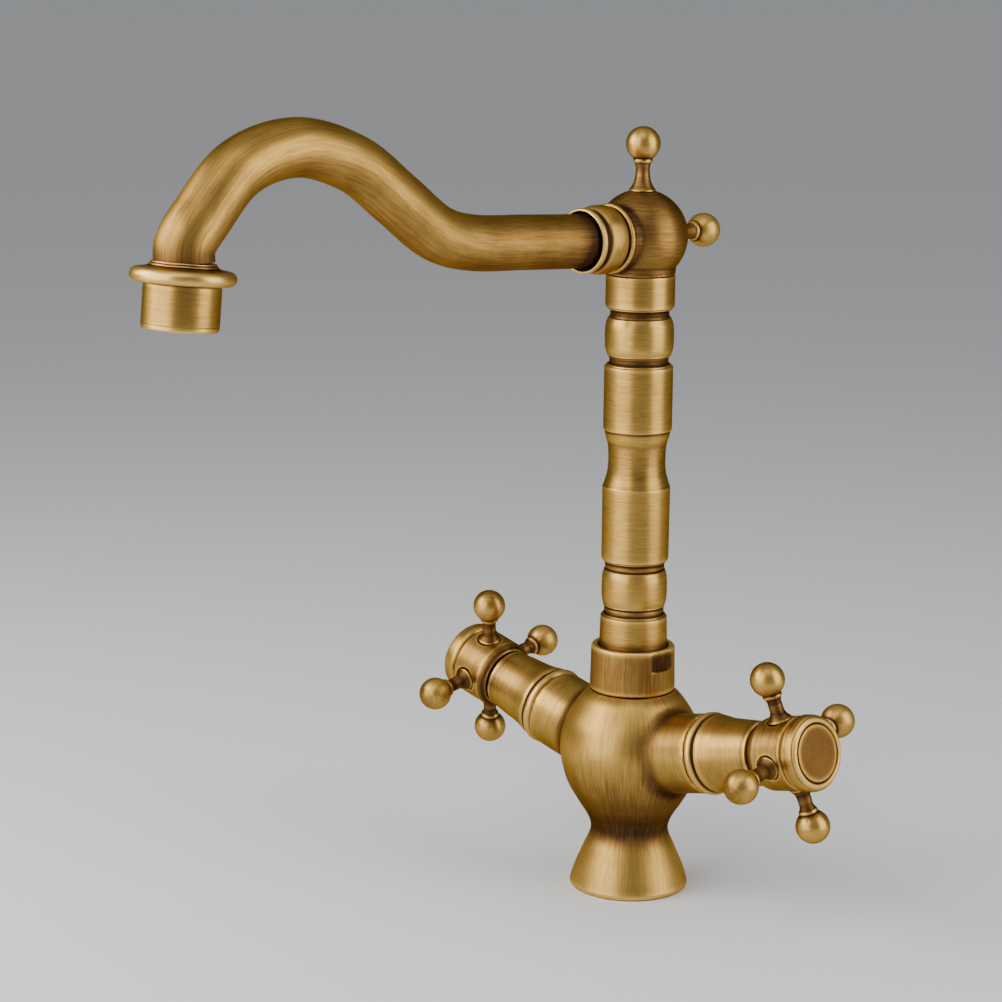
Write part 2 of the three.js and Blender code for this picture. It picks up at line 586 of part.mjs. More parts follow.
function cartridge() {
  const chamber = DISC_RADIUS + FIT;
  const bore = STEM_RADIUS + 0.4;
  const shank = VALVE_BORE - 0.5;
  const barrel = SLEEVE_BORE - 0.6;
  const step = ARM_LENGTH + 11.6;
  let body = lathed([
    [chamber, FIXED_DISC], [CARTRIDGE_NOSE, FIXED_DISC], [CARTRIDGE_NOSE, SEAL_GROOVE - 1.5],
    [shank, SEAL_GROOVE + 1.5], [shank, ARM_LENGTH], [barrel, ARM_LENGTH + 0.4],
    [barrel, step], [NECK_BORE_RADIUS - FIT, step + 0.5], [NECK_BORE_RADIUS - FIT, CARTRIDGE_END - 0.6],
    [NECK_BORE_RADIUS - 0.9, CARTRIDGE_END], [bore, CARTRIDGE_END], [bore, STEM_GROOVE + 1.1],
    [STEM_SEAL_RADIUS, STEM_GROOVE + 1.1], [STEM_SEAL_RADIUS, STEM_GROOVE - 1.1], [bore, STEM_GROOVE - 1.1],
    [bore, CHAMBER_END + FIT], [chamber, CHAMBER_END + FIT],
  ], MEDIUM);
  for (const side of [-1, 1]) {
    const window = new THREE.BoxGeometry(4, 7, 5);
    window.translate(side * (CARTRIDGE_NOSE - 0.4), 0, STEM_BASE + 0.6);
    body = body.subtract(toSolid(window));
  }
  return body;
}

const cartridgeRing = () => roundRing(SEAL_GROOVE - 3.3, CARTRIDGE_NOSE + 1.45, 1.05);

// The stem carries the turning disc on its foot and the splined handle seat on its end.
function spindle() {
  const spline = new THREE.Shape();
  const teeth = 12;
  for (let i = 0; i < teeth * 2; i += 1) {
    const angle = (i * Math.PI) / teeth;
    const radius = i % 2 === 0 ? STEM_RADIUS + 0.1 : STEM_RADIUS - 0.4;
    const place = [radius * Math.cos(angle), radius * Math.sin(angle)];
    if (i === 0) spline.moveTo(...place);
    else spline.lineTo(...place);
  }
  spline.closePath();
  const splined = new THREE.ExtrudeGeometry(spline, { depth: 12, bevelEnabled: false });
  splined.translate(0, 0, STEM_END - 12);
  const stem = lathed([
    [0, STEM_BASE], [DISC_RADIUS - 0.4, STEM_BASE], [DISC_RADIUS - 0.4, CHAMBER_END],
    [STEM_RADIUS, CHAMBER_END], [STEM_RADIUS, STEM_END - 11], [0, STEM_END - 11],
  ]);
  return stem.add(toSolid(splined)).subtract(drill([0, 0, STEM_END - 9], [0, 0, STEM_END + 1], 2.3));
}

const stemRing = () => roundRing(STEM_GROOVE, STEM_RADIUS + 1.05, 0.72);

// ---------------------------------------------------------------- cross handles
const HUB_START = HUB_PLANE - 12.2;
const HUB_END = HUB_PLANE + 7.6;
const CUP_FLOOR = HUB_START + 8;
const CUP_RADIUS = HUB_RADIUS - 3.2;
const SPLINE_BORE = STEM_RADIUS + 0.4;
const SCREW_SEAT = HUB_PLANE + 4;
const SCREW_HEAD = 3.8;
const SOCKET_RADIUS = 2.8;
const SOCKET_BASE = HUB_RADIUS - 6.6;
const SPOKE_BASE = 5.2;
const CAP_START = HUB_END + FIT;
const CAP_END = HUB_PLANE + 15.4;
const CAP_RADIUS = HUB_RADIUS + 0.5;
const INDEX_RADIUS = CAP_RADIUS - 4;
const INDEX_WELL = 2;
const CAP_EYE = 6.2;
const SCREW_HOLE = 2.4;

function handleHub() {
  const r = HUB_RADIUS;
  let hub = lathed([
    [CUP_RADIUS, HUB_START + 0.3], [CUP_RADIUS + 0.5, HUB_START], [CUP_RADIUS + 1.1, HUB_START + 0.2],
    [r - 0.7, HUB_START + 2.2], [r, HUB_START + 4.4], [r, HUB_END - 0.6], [r - 0.6, HUB_END],
    [SCREW_HEAD + 0.7, HUB_END], [SCREW_HEAD + 0.7, SCREW_SEAT], [SCREW_HOLE, SCREW_SEAT],
    [SCREW_HOLE, STEM_END + FIT], [SPLINE_BORE, STEM_END + FIT], [SPLINE_BORE, CUP_FLOOR],
    [CUP_RADIUS, CUP_FLOOR],
  ], FINE);
  for (let i = 0; i < 4; i += 1) {
    const angle = i * 90 * DEGREE;
    const outward = new THREE.Quaternion().setFromEuler(new THREE.Euler(0, 90 * DEGREE, angle, 'ZYX'));
    const socket = lathe([
      [0, SOCKET_BASE], [SOCKET_RADIUS + FIT, SOCKET_BASE], [SOCKET_RADIUS + FIT, r - 3],
      [SPOKE_BASE + FIT + 0.1, r - 0.9], [SPOKE_BASE + FIT + 0.6, r + 1], [0, r + 1],
    ], SLIM);
    socket.applyQuaternion(outward);
    socket.translate(0, 0, HUB_PLANE);
    hub = hub.subtract(toSolid(socket));
  }
  return hub;
}

function handleSpoke() {
  const seat = HUB_RADIUS - 0.6;
  const knob = ballKnob(seat, SPOKE_BASE, SPOKE_REACH, SOCKET_RADIUS, seat - SOCKET_BASE - 0.4);
  const root = [[SOCKET_RADIUS, HUB_RADIUS - 2.8], [SPOKE_BASE - 0.3, seat]];
  return lathed([...knob.slice(0, 2), ...root, ...knob.slice(4)], SLIM);
}

const handleScrew = () => lathed([
  [0, STEM_END - 7], [1.9, STEM_END - 7], [1.9, SCREW_SEAT + FIT], [SCREW_HEAD, SCREW_SEAT + FIT],
  [SCREW_HEAD, SCREW_SEAT + 2.6], [1.8, SCREW_SEAT + 2.6], [1.6, SCREW_SEAT + 1.4], [0, SCREW_SEAT + 1.4],
], COARSE);

function capBezel() {
  const r = CAP_RADIUS;
  const well = CAP_END - INDEX_WELL;
  return lathed([
    [CAP_EYE, CAP_START], [r - 1.2, CAP_START], [r, CAP_START + 1.5],
    [r - 0.1, CAP_START + 4], [r - 0.7, CAP_END - 1], [r - 1.9, CAP_END],
    [INDEX_RADIUS + FIT, CAP_END], [INDEX_RADIUS + FIT, well], [CAP_EYE, well],
  ], FINE);
}

const capIndex = () => lathed([
  [0, CAP_END - INDEX_WELL + FIT], [INDEX_RADIUS, CAP_END - INDEX_WELL + FIT],
  [INDEX_RADIUS, CAP_END - 0.3],
  [INDEX_RADIUS - 0.4, CAP_END], [0, CAP_END],
], MEDIUM);

// ---------------------------------------------------------------- assembly
function outletGroup() {
  const group = new THREE.Group();
  group.position.set(0, -SPOUT_REACH, OUTLET_TOP);
  group.rotation.x = -OUTLET_TILT * DEGREE;
  group.add(
    part('outlet_flange', outletFlange(), BRASS),
    part('aerator_housing', aeratorHousing(), BRASS),
    part('aerator_washer', aeratorWasher(), RUBBER),
    part('aerator_insert', aeratorInsert(), PLASTIC),
  );
  return group;
}

function elbowFinials() {
  const group = new THREE.Group();
  group.position.z = ELBOW_HEIGHT;
  const top = part('top_finial', finial(), BRASS);
  const rear = part('rear_finial', finial(), BRASS);
  rear.rotation.x = -90 * DEGREE;
  group.add(top, rear);
  return group;
}

function crossHandle(label) {
  const group = new THREE.Group();
  group.add(
    part(`${label}_handle_hub`, handleHub(), BRASS),
    part(`${label}_handle_screw`, handleScrew(), STEEL),
    part(`${label}_cap_bezel`, capBezel(), BRASS),
    part(`${label}_cap_index`, capIndex(), BRASS),
    part(`${label}_spindle`, spindle(), BARE_BRASS),
    part(`${label}_spindle_o_ring`, stemRing(), RUBBER),
    part(`${label}_turning_disc`, ceramicDisc(TURNING_DISC, DISC_RADIUS - 0.2), CERAMIC),
  );
  for (let i = 0; i < 4; i += 1) {
    const arm = new THREE.Group();
    arm.position.z = HUB_PLANE;
    arm.rotation.z = i * 90 * DEGREE;
    const spoke = part(`${label}_spoke_${i + 1}`, handleSpoke(), BRASS);
    spoke.rotation.y = 90 * DEGREE;
    arm.add(spoke);
    group.add(arm);
  }
  return group;
}

function valveSide(label, side) {
  const group = new THREE.Group();
  group.position.z = ARM_HEIGHT;
  group.rotation.copy(armTurn(side));
  group.add(
    part(`${label}_bonnet_sleeve`, bonnetSleeve(), BRASS),
    part(`${label}_cartridge_body`, cartridge(), BARE_BRASS),
    part(`${label}_cartridge_o_ring`, cartridgeRing(), RUBBER),
    part(`${label}_seat_seal`, valveSeal(), RUBBER),
    part(`${label}_fixed_disc`, ceramicDisc(FIXED_DISC, DISC_RADIUS), CERAMIC),
  );
  // The upper spoke of each closed handle leans towards the spout.
  const handle = crossHandle(label);
  handle.rotation.z = (side > 0 ? 180 + SPOKE_LEAN : -SPOKE_LEAN) * DEGREE;
  group.add(handle);
  return group;
}

const faucet = new THREE.Group();
faucet.add(
  part('mixer_body', mixerBody(), BRASS),
  part('foot_gasket', footGasket(), RUBBER),
  part('column_collar', columnCollar(), BRASS),
  part('glide_ring', glideRing(), PLASTIC),
  part('swivel_spigot', swivelSpigot(), BARE_BRASS),
  part('lower_spigot_o_ring', spigotRing(RING_HEIGHTS[0]), RUBBER),
  part('upper_spigot_o_ring', spigotRing(RING_HEIGHTS[1]), RUBBER),
  part('column', column(), BRASS),
  part('ball_elbow', ballElbow(), DARK_BRASS),
  elbowFinials(),
  part('spout_nut', spoutNut(), BRASS),
  part('spout_seal', spoutSeal(), RUBBER),
  part('spout_tube', spoutTube(), BRASS),
  outletGroup(),
  valveSide('hot', -1),
  valveSide('cold', 1),
);

export default faucet;
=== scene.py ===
"""Looks of a two-handle bathroom mixer faucet in brushed antique brass.

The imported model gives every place. Sizes inside the classes are in millimetres and are
brought to metres when a mesh is made.
"""

import json
import logging
import math
from dataclasses import dataclass
from enum import Enum
from typing import Iterable, Sequence

import bmesh
import bpy
import numpy as np
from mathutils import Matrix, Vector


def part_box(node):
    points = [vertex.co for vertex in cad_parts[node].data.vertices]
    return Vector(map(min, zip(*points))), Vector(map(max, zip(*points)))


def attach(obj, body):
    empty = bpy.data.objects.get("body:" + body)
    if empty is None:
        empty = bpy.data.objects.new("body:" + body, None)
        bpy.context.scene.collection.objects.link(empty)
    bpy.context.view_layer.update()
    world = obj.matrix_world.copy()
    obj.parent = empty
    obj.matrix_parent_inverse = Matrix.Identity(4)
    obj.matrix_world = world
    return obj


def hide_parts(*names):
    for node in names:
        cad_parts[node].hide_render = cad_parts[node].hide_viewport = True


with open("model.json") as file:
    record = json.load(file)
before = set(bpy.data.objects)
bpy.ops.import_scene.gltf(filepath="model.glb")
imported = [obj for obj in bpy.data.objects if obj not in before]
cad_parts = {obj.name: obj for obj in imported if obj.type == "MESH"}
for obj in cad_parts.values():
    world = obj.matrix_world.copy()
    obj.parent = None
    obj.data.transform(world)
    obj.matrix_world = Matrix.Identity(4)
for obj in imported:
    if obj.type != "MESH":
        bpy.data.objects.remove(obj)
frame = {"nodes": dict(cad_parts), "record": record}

import openvdb
from mathutils import Matrix, Vector

logging.basicConfig(level=logging.INFO, format="%(name)s: %(message)s")
LOG = logging.getLogger("faucet")

MM = 0.001
TINY = 1e-9
SPOKE_PLANE = 94.5
SHARP_EDGE = math.radians(42)
HOLLOW_GAIN = 1.9

Corner = tuple[float, float, float]
Colour = tuple[float, float, float]
Socket = bpy.types.NodeSocket


class Brush(Enum):
    """How a surface was worked: how wide its pattern runs round the axis, and how fine along the outline."""

    AROUND = (0.16, 4.2)
    ALONG = (3.4, 0.12)
    BLASTED = (3.2, 3.2)


class Slot(Enum):
    """The record's material slots."""

    BRASS = "antique_brass"
    BARE = "bare_brass"
    STEEL = "stainless_steel"
    RUBBER = "black_rubber"
    PLASTIC = "pale_plastic"
    CERAMIC = "white_ceramic"


# ---------------------------------------------------------------- small tools


def linked(name: str, data: bpy.types.ID) -> bpy.types.Object:
    """Makes an object and links it to the scene.

    Args:
        name: The object's name.
        data: Its mesh, light or camera.

    Returns:
        The object.
    """
    made = bpy.data.objects.new(name, data)
    bpy.context.scene.collection.objects.link(made)
    return made


def unit(rows: np.ndarray) -> np.ndarray:
    """Returns the rows brought to length 1."""
    return rows / (np.linalg.norm(rows, axis=1, keepdims=True) + TINY)


def band(values: np.ndarray, centre: float, width: float, strength: float) -> np.ndarray:
    """Returns a soft band that is strongest where the values reach its centre."""
    return strength * np.exp(-(((values - centre) / width) ** 2))


# ---------------------------------------------------------------- outlines


def flowing(points: Sequence[tuple[float, float]], steps: int = 8) -> list[Corner]:
    """Draws a smooth line through a few points.

    Args:
        points: Radius and height of each point that the line passes.
        steps: Points made for each stretch between two of them.

    Returns:
        Corners with no rounding of their own.
    """
    p = np.array([points[0], *points, points[-1]], float)
    line: list[Corner] = []
    for i in range(1, len(p) - 2):
        for t in np.linspace(0, 1, steps, endpoint=False):
            a = 2 * p[i]
            b = (p[i + 1] - p[i - 1]) * t
            c = (2 * p[i - 1] - 5 * p[i] + 4 * p[i + 1] - p[i + 2]) * t * t
            d = (3 * p[i] - p[i - 1] - 3 * p[i + 1] + p[i + 2]) * t**3
            x, y = (a + b + c + d) / 2
            line.append((float(x), float(y), 0.0))
    line.append((float(p[-1][0]), float(p[-1][1]), 0.0))
    return line


def bow(centre: tuple[float, float], radius: float, start: float, end: float, steps: int = 12) -> list[Corner]:
    """Draws an arc of an outline.

    Args:
        centre: Radius and height of the arc's centre.
        radius: The arc's own radius.
        start: First angle in degrees, from the radius direction towards the height.
        end: Last angle in degrees.
        steps: Stretches along it.

    Returns:
        Corners with no rounding of their own.
    """
    turn = np.radians(np.linspace(start, end, steps + 1))
    return [(centre[0] + radius * math.cos(a), centre[1] + radius * math.sin(a), 0.0) for a in turn]


ROUNDING_STEPS = 6
ROUNDING_SHARE = 0.46
NEARLY_STRAIGHT = 1.5


def rounded(corners: Sequence[Corner], closed: bool, step: float = 0.9) -> np.ndarray:
    """Rounds each corner by its own radius and fills long stretches with points.

    Args:
        corners: Radius, height and rounding of each corner.
        closed: Whether the outline returns to its first corner.
        step: Longest stretch that is left whole.

    Returns:
        An array of radius and height.
    """
    c = np.array(corners, float)
    n = len(c)
    bent: list[np.ndarray] = []
    for i in range(n):
        here, size = c[i, :2], c[i, 2]
        if size <= 0 or (not closed and i in (0, n - 1)):
            bent.append(here)
            continue
        back, on = c[i - 1, :2] - here, c[(i + 1) % n, :2] - here
        behind, ahead = np.linalg.norm(back), np.linalg.norm(on)
        back, on = back / behind, on / ahead
        half = math.acos(float(np.clip(back @ on, -1, 1))) / 2
        if half > NEARLY_STRAIGHT:
            bent.append(here)
            continue
        reach = min(size / math.tan(half), ROUNDING_SHARE * behind, ROUNDING_SHARE * ahead)
        size = reach * math.tan(half)
        middle = here + (back + on) / np.linalg.norm(back + on) * size / math.sin(half)
        first, last = here + back * reach - middle, here + on * reach - middle
        sweep = math.atan2(first[0] * last[1] - first[1] * last[0], float(first @ last))
        for k in range(ROUNDING_STEPS + 1):
            cos, sin = math.cos(sweep * k / ROUNDING_STEPS), math.sin(sweep * k / ROUNDING_STEPS)
            bent.append(middle + np.array((first[0] * cos - first[1] * sin, first[0] * sin + first[1] * cos)))
    line = np.array(bent)
    if closed:
        line = np.vstack([line, line[:1]])
    full = [line[0]]
    for a, b in zip(line[:-1], line[1:]):
        gap = float(np.linalg.norm(b - a))
        if gap < 1e-5:
            continue
        parts = max(1, math.ceil(gap / step))
        full += [a + (b - a) * k / parts for k in range(1, parts + 1)]
    return np.array(full[:-1] if closed else full)


def hollows(line: np.ndarray, closed: bool, reach: float = 1.1) -> np.ndarray:
    """Finds how deep each point of an outline lies in a hollow.

    Args:
        line: Radius and height of each point.
        closed: Whether the outline returns to its first point.
        reach: Size of the hollows that count, in millimetres.

    Returns:
        About 0.5 where it is straight, up to 1 in a groove and down to 0 on an edge.
    """
    step = np.linalg.norm(np.roll(line, -1, 0) - line, axis=1)
    if not closed:
        step[-1] = 0
    run = np.concatenate([[0], np.cumsum(step)[:-1]])
    apart = np.abs(run[:, None] - run[None, :])
    if closed:
        apart = np.minimum(apart, step.sum() - apart)
    own = (step + np.roll(step, 1)) / 2
    weight = np.exp(-((apart / reach) ** 2) / 2) * own[None, :]
    mean = (weight @ line) / weight.sum(1, keepdims=True)
    ahead = np.roll(line, -1, 0) - np.roll(line, 1, 0)
    if not closed:
        ahead[0], ahead[-1] = line[1] - line[0], line[-1] - line[-2]
        mean[0], mean[-1] = line[0], line[-1]
    out = unit(np.stack([ahead[:, 1], -ahead[:, 0]], 1))
    area = np.sum(line[:, 0] * np.roll(line[:, 1], -1) - np.roll(line[:, 0], -1) * line[:, 1])
    depth = ((mean - line) * out).sum(1) * (1 if area > 0 else -1)
    return np.clip(0.5 + depth / reach * HOLLOW_GAIN, 0, 1)


# ---------------------------------------------------------------- places


@dataclass(frozen=True)
class Seat:
    """The axis that a turned piece stands on.

    Attributes:
        origin: Where height 0 lies, in millimetres.
        axis: Direction of growing height.
        side: Direction from which angles are counted.
    """

    origin: tuple[float, float, float]
    axis: tuple[float, float, float]
    side: tuple[float, float, float]

    def basis(self) -> np.ndarray:
        """Finds the seat's own directions.

        Returns:
            The side, the across and the axis directions as rows.
        """
        axis = Vector(self.axis).normalized()
        side = Vector(self.side)
        side = (side - axis * side.dot(axis)).normalized()
        return np.array([side, axis.cross(side), axis])

    def out(self, local: np.ndarray) -> np.ndarray:
        """Brings points from the seat's own frame to the part's frame, in millimetres."""
        return local @ self.basis() + np.array(self.origin)

    def into(self, points: np.ndarray) -> np.ndarray:
        """Brings points of the part's frame, in millimetres, to the seat's own frame."""
        return (points - np.array(self.origin)) @ self.basis().T

    def branch(self, along: float, angle: float) -> "Seat":
        """Returns a seat whose axis leaves this one at right angles.

        Args:
            along: Height at which it leaves.
            angle: Angle round the axis, in degrees.

        Returns:
            The new seat.
        """
        side, across, axis = self.basis()
        away = side * math.cos(math.radians(angle)) + across * math.sin(math.radians(angle))
        return Seat(tuple(np.array(self.origin) + axis * along), tuple(away), tuple(axis))


def node_box(node: str) -> tuple[np.ndarray, np.ndarray]:
    """Returns a CAD node's lowest and highest corners in millimetres."""
    low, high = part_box(node)
    return np.array(low) / MM, np.array(high) / MM


def upright(height: float = 0.0) -> Seat:
    """Returns the faucet's own upright axis, with height 0 at the given height."""
    return Seat((0.0, 0.0, height), (0, 0, 1), (0, 1, 0))


def forward(height: float) -> Seat:
    """Returns the level axis that runs out through the spout's socket at the given height."""
    return Seat((0, 0, height), (0, -1, 0), (1, 0, 0))


# ---------------------------------------------------------------- surfaces


@dataclass
class Surface:
    """A mesh in millimetres with what its finish needs at each point.

    Attributes:
        points: Places of the points.
        faces: Corners of each face.
        stroke: Where each point lies in the pattern of scratches.
        grain: Direction of the scratches.
        patina_and_shade: 1 in a groove full of patina and in painted shade at joints and recesses, 0.5 on plain
            metal, 0 on a rubbed edge.
        second: A second pattern place, for a surface worked in two ways.
        share: How much of the second pattern each point shows.
    """

    points: np.ndarray
    faces: list[Sequence[int]]
    stroke: np.ndarray
    grain: np.ndarray
    patina_and_shade: np.ndarray
    second: np.ndarray | None = None
    share: np.ndarray | None = None

    def to_object(self, name: str) -> bpy.types.Object:
        """Makes the mesh object, with its normals turned out and its attributes stored.

        Args:
            name: The object's name.

        Returns:
            The new object, linked to the scene.
        """
        mesh = bpy.data.meshes.new(name)
        mesh.from_pydata((self.points * MM).tolist(), [], [list(map(int, f)) for f in self.faces])
        for label, values in (("stroke", self.stroke), ("grain", self.grain), ("second", self.second)):
            if values is not None:
                store = mesh.attributes.new(label, "FLOAT_VECTOR", "POINT")
                store.data.foreach_set("vector", np.asarray(values, np.float32).ravel())
        for label, values in (("patina_and_shade", self.patina_and_shade), ("share", self.share)):
            if values is not None:
                store = mesh.attributes.new(label, "FLOAT", "POINT")
                store.data.foreach_set("value", np.asarray(values, np.float32).ravel())
        shell = bmesh.new()
        shell.from_mesh(mesh)
        bmesh.ops.recalc_face_normals(shell, faces=shell.faces)
        shell.to_mesh(mesh)
        shell.free()
        mesh.shade_smooth()
        mesh.set_sharp_from_angle(angle=SHARP_EDGE)
        return linked(name, mesh)

    def darken(self, amount: float | np.ndarray) -> None:
        """Darkens the whole surface, or each point by its own amount, with patina and painted shade."""
        self.patina_and_shade = np.clip(self.patina_and_shade + amount, 0, 1)


def strokes(brush: Brush, angle: np.ndarray, run: np.ndarray, radius: float) -> np.ndarray:
    """Lays out the pattern of scratches on a turned surface.

    Args:
        brush: How the surface was worked.
        angle: Angle of each point round the axis.
        run: Distance of each point along the outline, in millimetres.
        radius: A usual radius of the piece.

    Returns:
        A place in the pattern for each point. The pattern varies slowly along a scratch.
    """
    wide, fine = brush.value
    return np.stack([np.cos(angle) * wide * radius, np.sin(angle) * wide * radius, run * fine], -1)


def turned(
    line: np.ndarray,
    seat: Seat,
    brush: Brush,
    sides: int = 96,
    closed: bool = False,
    shade: Iterable[tuple[float, float, float]] = (),
) -> Surface:
    """Turns an outline round a seat's axis.

    Args:
        line: Radius and height of each point, from rounded().
        seat: The axis.
        brush: How the surface was worked.
        sides: Faces in a full turn.
        closed: Whether the outline closes on itself; otherwise it starts and ends on the axis.
        shade: Height, width and strength of extra bands of painted shade at joints and crevices, and of patina.

    Returns:
        The turned surface.
    """
    turn = np.linspace(0, 2 * math.pi, sides, endpoint=False)
    deep = hollows(line, closed)
    # painted shade at joints and crevices, with some bands of patina, added to the hollows
    for height, width, strength in shade:
        deep = np.clip(deep + band(line[:, 1], height, width, strength), 0, 1)
    step = np.concatenate([[0], np.linalg.norm(np.diff(line, axis=0), axis=1)])
    run = np.cumsum(step)
    ahead = unit(np.gradient(line, axis=0))
    usual = float(np.max(line[:, 0]))
    points, angles, runs, patina_and_shade, grain, rows = [], [], [], [], [], []
    for i, (radius, height) in enumerate(line):
        on_axis = radius < 1e-6
        ring = turn[:1] if on_axis else turn
        rows.append((len(points), on_axis))
        for a in ring:
            points.append((radius * math.cos(a), radius * math.sin(a), height))
            angles.append(a)
            runs.append(run[i])
            patina_and_shade.append(deep[i])
            if brush is Brush.ALONG:
                grain.append((ahead[i, 0] * math.cos(a), ahead[i, 0] * math.sin(a), ahead[i, 1]))
            else:
                grain.append((-math.sin(a), math.cos(a), 0.0))
    faces: list[Sequence[int]] = []
    pairs = list(zip(rows[:-1], rows[1:])) + ([(rows[-1], rows[0])] if closed else [])
    for (low, low_pole), (high, high_pole) in pairs:
        for k in range(sides):
            n = (k + 1) % sides
            if low_pole:
                faces.append((low, high + n, high + k))
            elif high_pole:
                faces.append((low + k, low + n, high))
            else:
                faces.append((low + k, low + n, high + n, high + k))
    return Surface(
        seat.out(np.array(points)),
        faces,
        strokes(brush, np.array(angles), np.array(runs), usual),
        np.array(grain) @ seat.basis(),
        np.array(patina_and_shade),
    )


# ---------------------------------------------------------------- castings


def outline_distance(radius: np.ndarray, height: np.ndarray, line: np.ndarray) -> np.ndarray:
    """Measures how far points are from a closed outline.

    Args:
        radius: Distance of each point from the axis.
        height: Height of each point.
        line: The outline's corners.

    Returns:
        The distance, negative inside.
    """
    best = np.full(radius.shape, 1e9, radius.dtype)
    inside = np.zeros(radius.shape, bool)
    for (ax, ay), (bx, by) in zip(line, np.roll(line, -1, 0)):
        ex, ey = bx - ax, by - ay
        wx, wy = radius - ax, height - ay
        size = ex * ex + ey * ey
        if size < 1e-12:
            continue
        t = np.clip((wx * ex + wy * ey) / size, 0, 1)
        best = np.minimum(best, (wx - t * ex) ** 2 + (wy - t * ey) ** 2)
        if by != ay:
            crosses = (ay > height) != (by > height)
            inside ^= crosses & (radius < (bx - ax) * (height - ay) / (by - ay) + ax)
    gap = np.sqrt(best)
    return np.where(inside, -gap, gap)


@dataclass
class Turning:
    """A turned solid, used as a part of a casting or as a hole in it.

    Attributes:
        corners: Its outline, closed along the axis.
        seat: Its axis.
        mirrored: Whether it is there on both sides of the faucet.
    """

    corners: list[Corner]
    seat: Seat
    mirrored: bool = False

    def __post_init__(self) -> None:
        """Prepares the outline with every corner rounded."""
        self.line = rounded(self.corners, True, step=50)

    def distance(self, points: np.ndarray) -> np.ndarray:
        """Measures how far points are from the solid.

        Args:
            points: The points.

        Returns:
            The distance, negative inside.
        """
        local = self.seat.into(folded(points) if self.mirrored else points)
        return outline_distance(np.hypot(local[:, 0], local[:, 1]), local[:, 2], self.line)


def rod(radius: float, start: float, end: float, seat: Seat, mirrored: bool = False) -> Turning:
    """Returns a plain cylinder between two heights of a seat, mostly to drill a hole with."""
    return Turning([(0, start, 0), (radius, start, 0), (radius, end, 0), (0, end, 0)], seat, mirrored)


def folded(points: np.ndarray) -> np.ndarray:
    """Returns the points with the hot side turned over onto the cold side."""
    return np.column_stack([np.abs(points[:, 0]), points[:, 1:]])


@dataclass
class Skin:
    """The fine skin of a casting.

    Attributes:
        points: Its points.
        quads: Its faces.
        normals: Outward direction at each point.
    """

    points: np.ndarray
    quads: np.ndarray
    normals: np.ndarray

    def hollows(self, rounds: int, gain: float) -> np.ndarray:
        """Finds how deep each point lies in a hollow.

        Args:
            rounds: How many times the skin is relaxed to compare with.
            gain: Strength of the result.

        Returns:
            0.5 where it is flat, up to 1 in a hollow and down to 0 on an edge.
        """
        count = len(self.points)
        edges = np.vstack([self.quads[:, [k, (k + 1) % 4]] for k in range(4)])
        ends = np.concatenate([edges[:, 0], edges[:, 1]])
        others = np.concatenate([edges[:, 1], edges[:, 0]])
        degree = np.maximum(np.bincount(ends, minlength=count), 1)
        relaxed = self.points.copy()
        for _ in range(rounds):
            sums = [np.bincount(ends, weights=relaxed[others, k], minlength=count) for k in range(3)]
            relaxed = np.stack(sums, 1) / degree[:, None]
        depth = ((relaxed - self.points) * self.normals).sum(1)
        return np.clip(0.5 + depth * gain, 0, 1)

    def across(self, axis: np.ndarray) -> np.ndarray:
        """Returns the direction of scratches that run round an axis."""
        return unit(np.cross(axis, self.normals))


@dataclass
class Casting:
    """A solid blended from turned parts, with holes cut in it.

    Attributes:
        parts: The parts.
        holes: The holes.
        fillet: Size of the blend between two parts.
    """

    NUDGE = 0.05
    ROUNDS = 4

    parts: list[Turning]
    holes: list[Turning]
    fillet: float = 1.0

    def distance(self, points: np.ndarray) -> np.ndarray:
        """Measures how far points are from the casting.

        Args:
            points: The points.

        Returns:
            The distance, negative inside.
        """
        solid = self.parts[0].distance(points)
        for part in self.parts[1:]:
            other = part.distance(points)
            h = np.clip(0.5 + 0.5 * (other - solid) / self.fillet, 0, 1)
            solid = other + (solid - other) * h - self.fillet * h * (1 - h)
        for hole in self.holes:
            solid = np.maximum(solid, -hole.distance(points))
        return solid

    def slope(self, points: np.ndarray, value: np.ndarray) -> np.ndarray:
        """Returns how fast the distance grows at each point, given its value there."""
        return np.stack([(self.distance(points + self.NUDGE * d) - value) / self.NUDGE for d in np.eye(3)], 1)

    def skin(self, node: str, cell: float) -> Skin:
        """Makes a fine skin on the casting.

        Args:
            node: The CAD node whose box holds it.
            cell: Size of the faces.

        Returns:
            The skin, with its points moved onto the exact shape.
        """
        low, high = node_box(node)
        band_width = 3 * cell
        start = low - band_width
        count = np.ceil((high - low) / cell).astype(int) + 7
        axes = [start[i] + np.arange(count[i]) * cell for i in range(3)]
        levels = np.empty(count, np.float32)
        flat = np.stack(np.meshgrid(axes[1], axes[2], indexing="ij"), -1).reshape(-1, 2)
        for i, x in enumerate(axes[0]):
            slab = np.column_stack([np.full(len(flat), x), flat])
            levels[i] = np.clip(self.distance(slab), -band_width, band_width).reshape(count[1], count[2])
        grid = openvdb.FloatGrid(float(band_width))
        grid.copyFromArray(levels)
        points, quads = grid.convertToQuads(isovalue=0.0)
        points = points.astype(float) * cell + start
        for _ in range(self.ROUNDS):
            value = self.distance(points)
            slope = self.slope(points, value)
            steep = np.maximum((slope**2).sum(1, keepdims=True), 0.3)
            points = points + np.clip(-value[:, None] * slope / steep, -cell / 2, cell / 2)
        return Skin(points, quads, unit(self.slope(points, self.distance(points))))


# ---------------------------------------------------------------- finishes


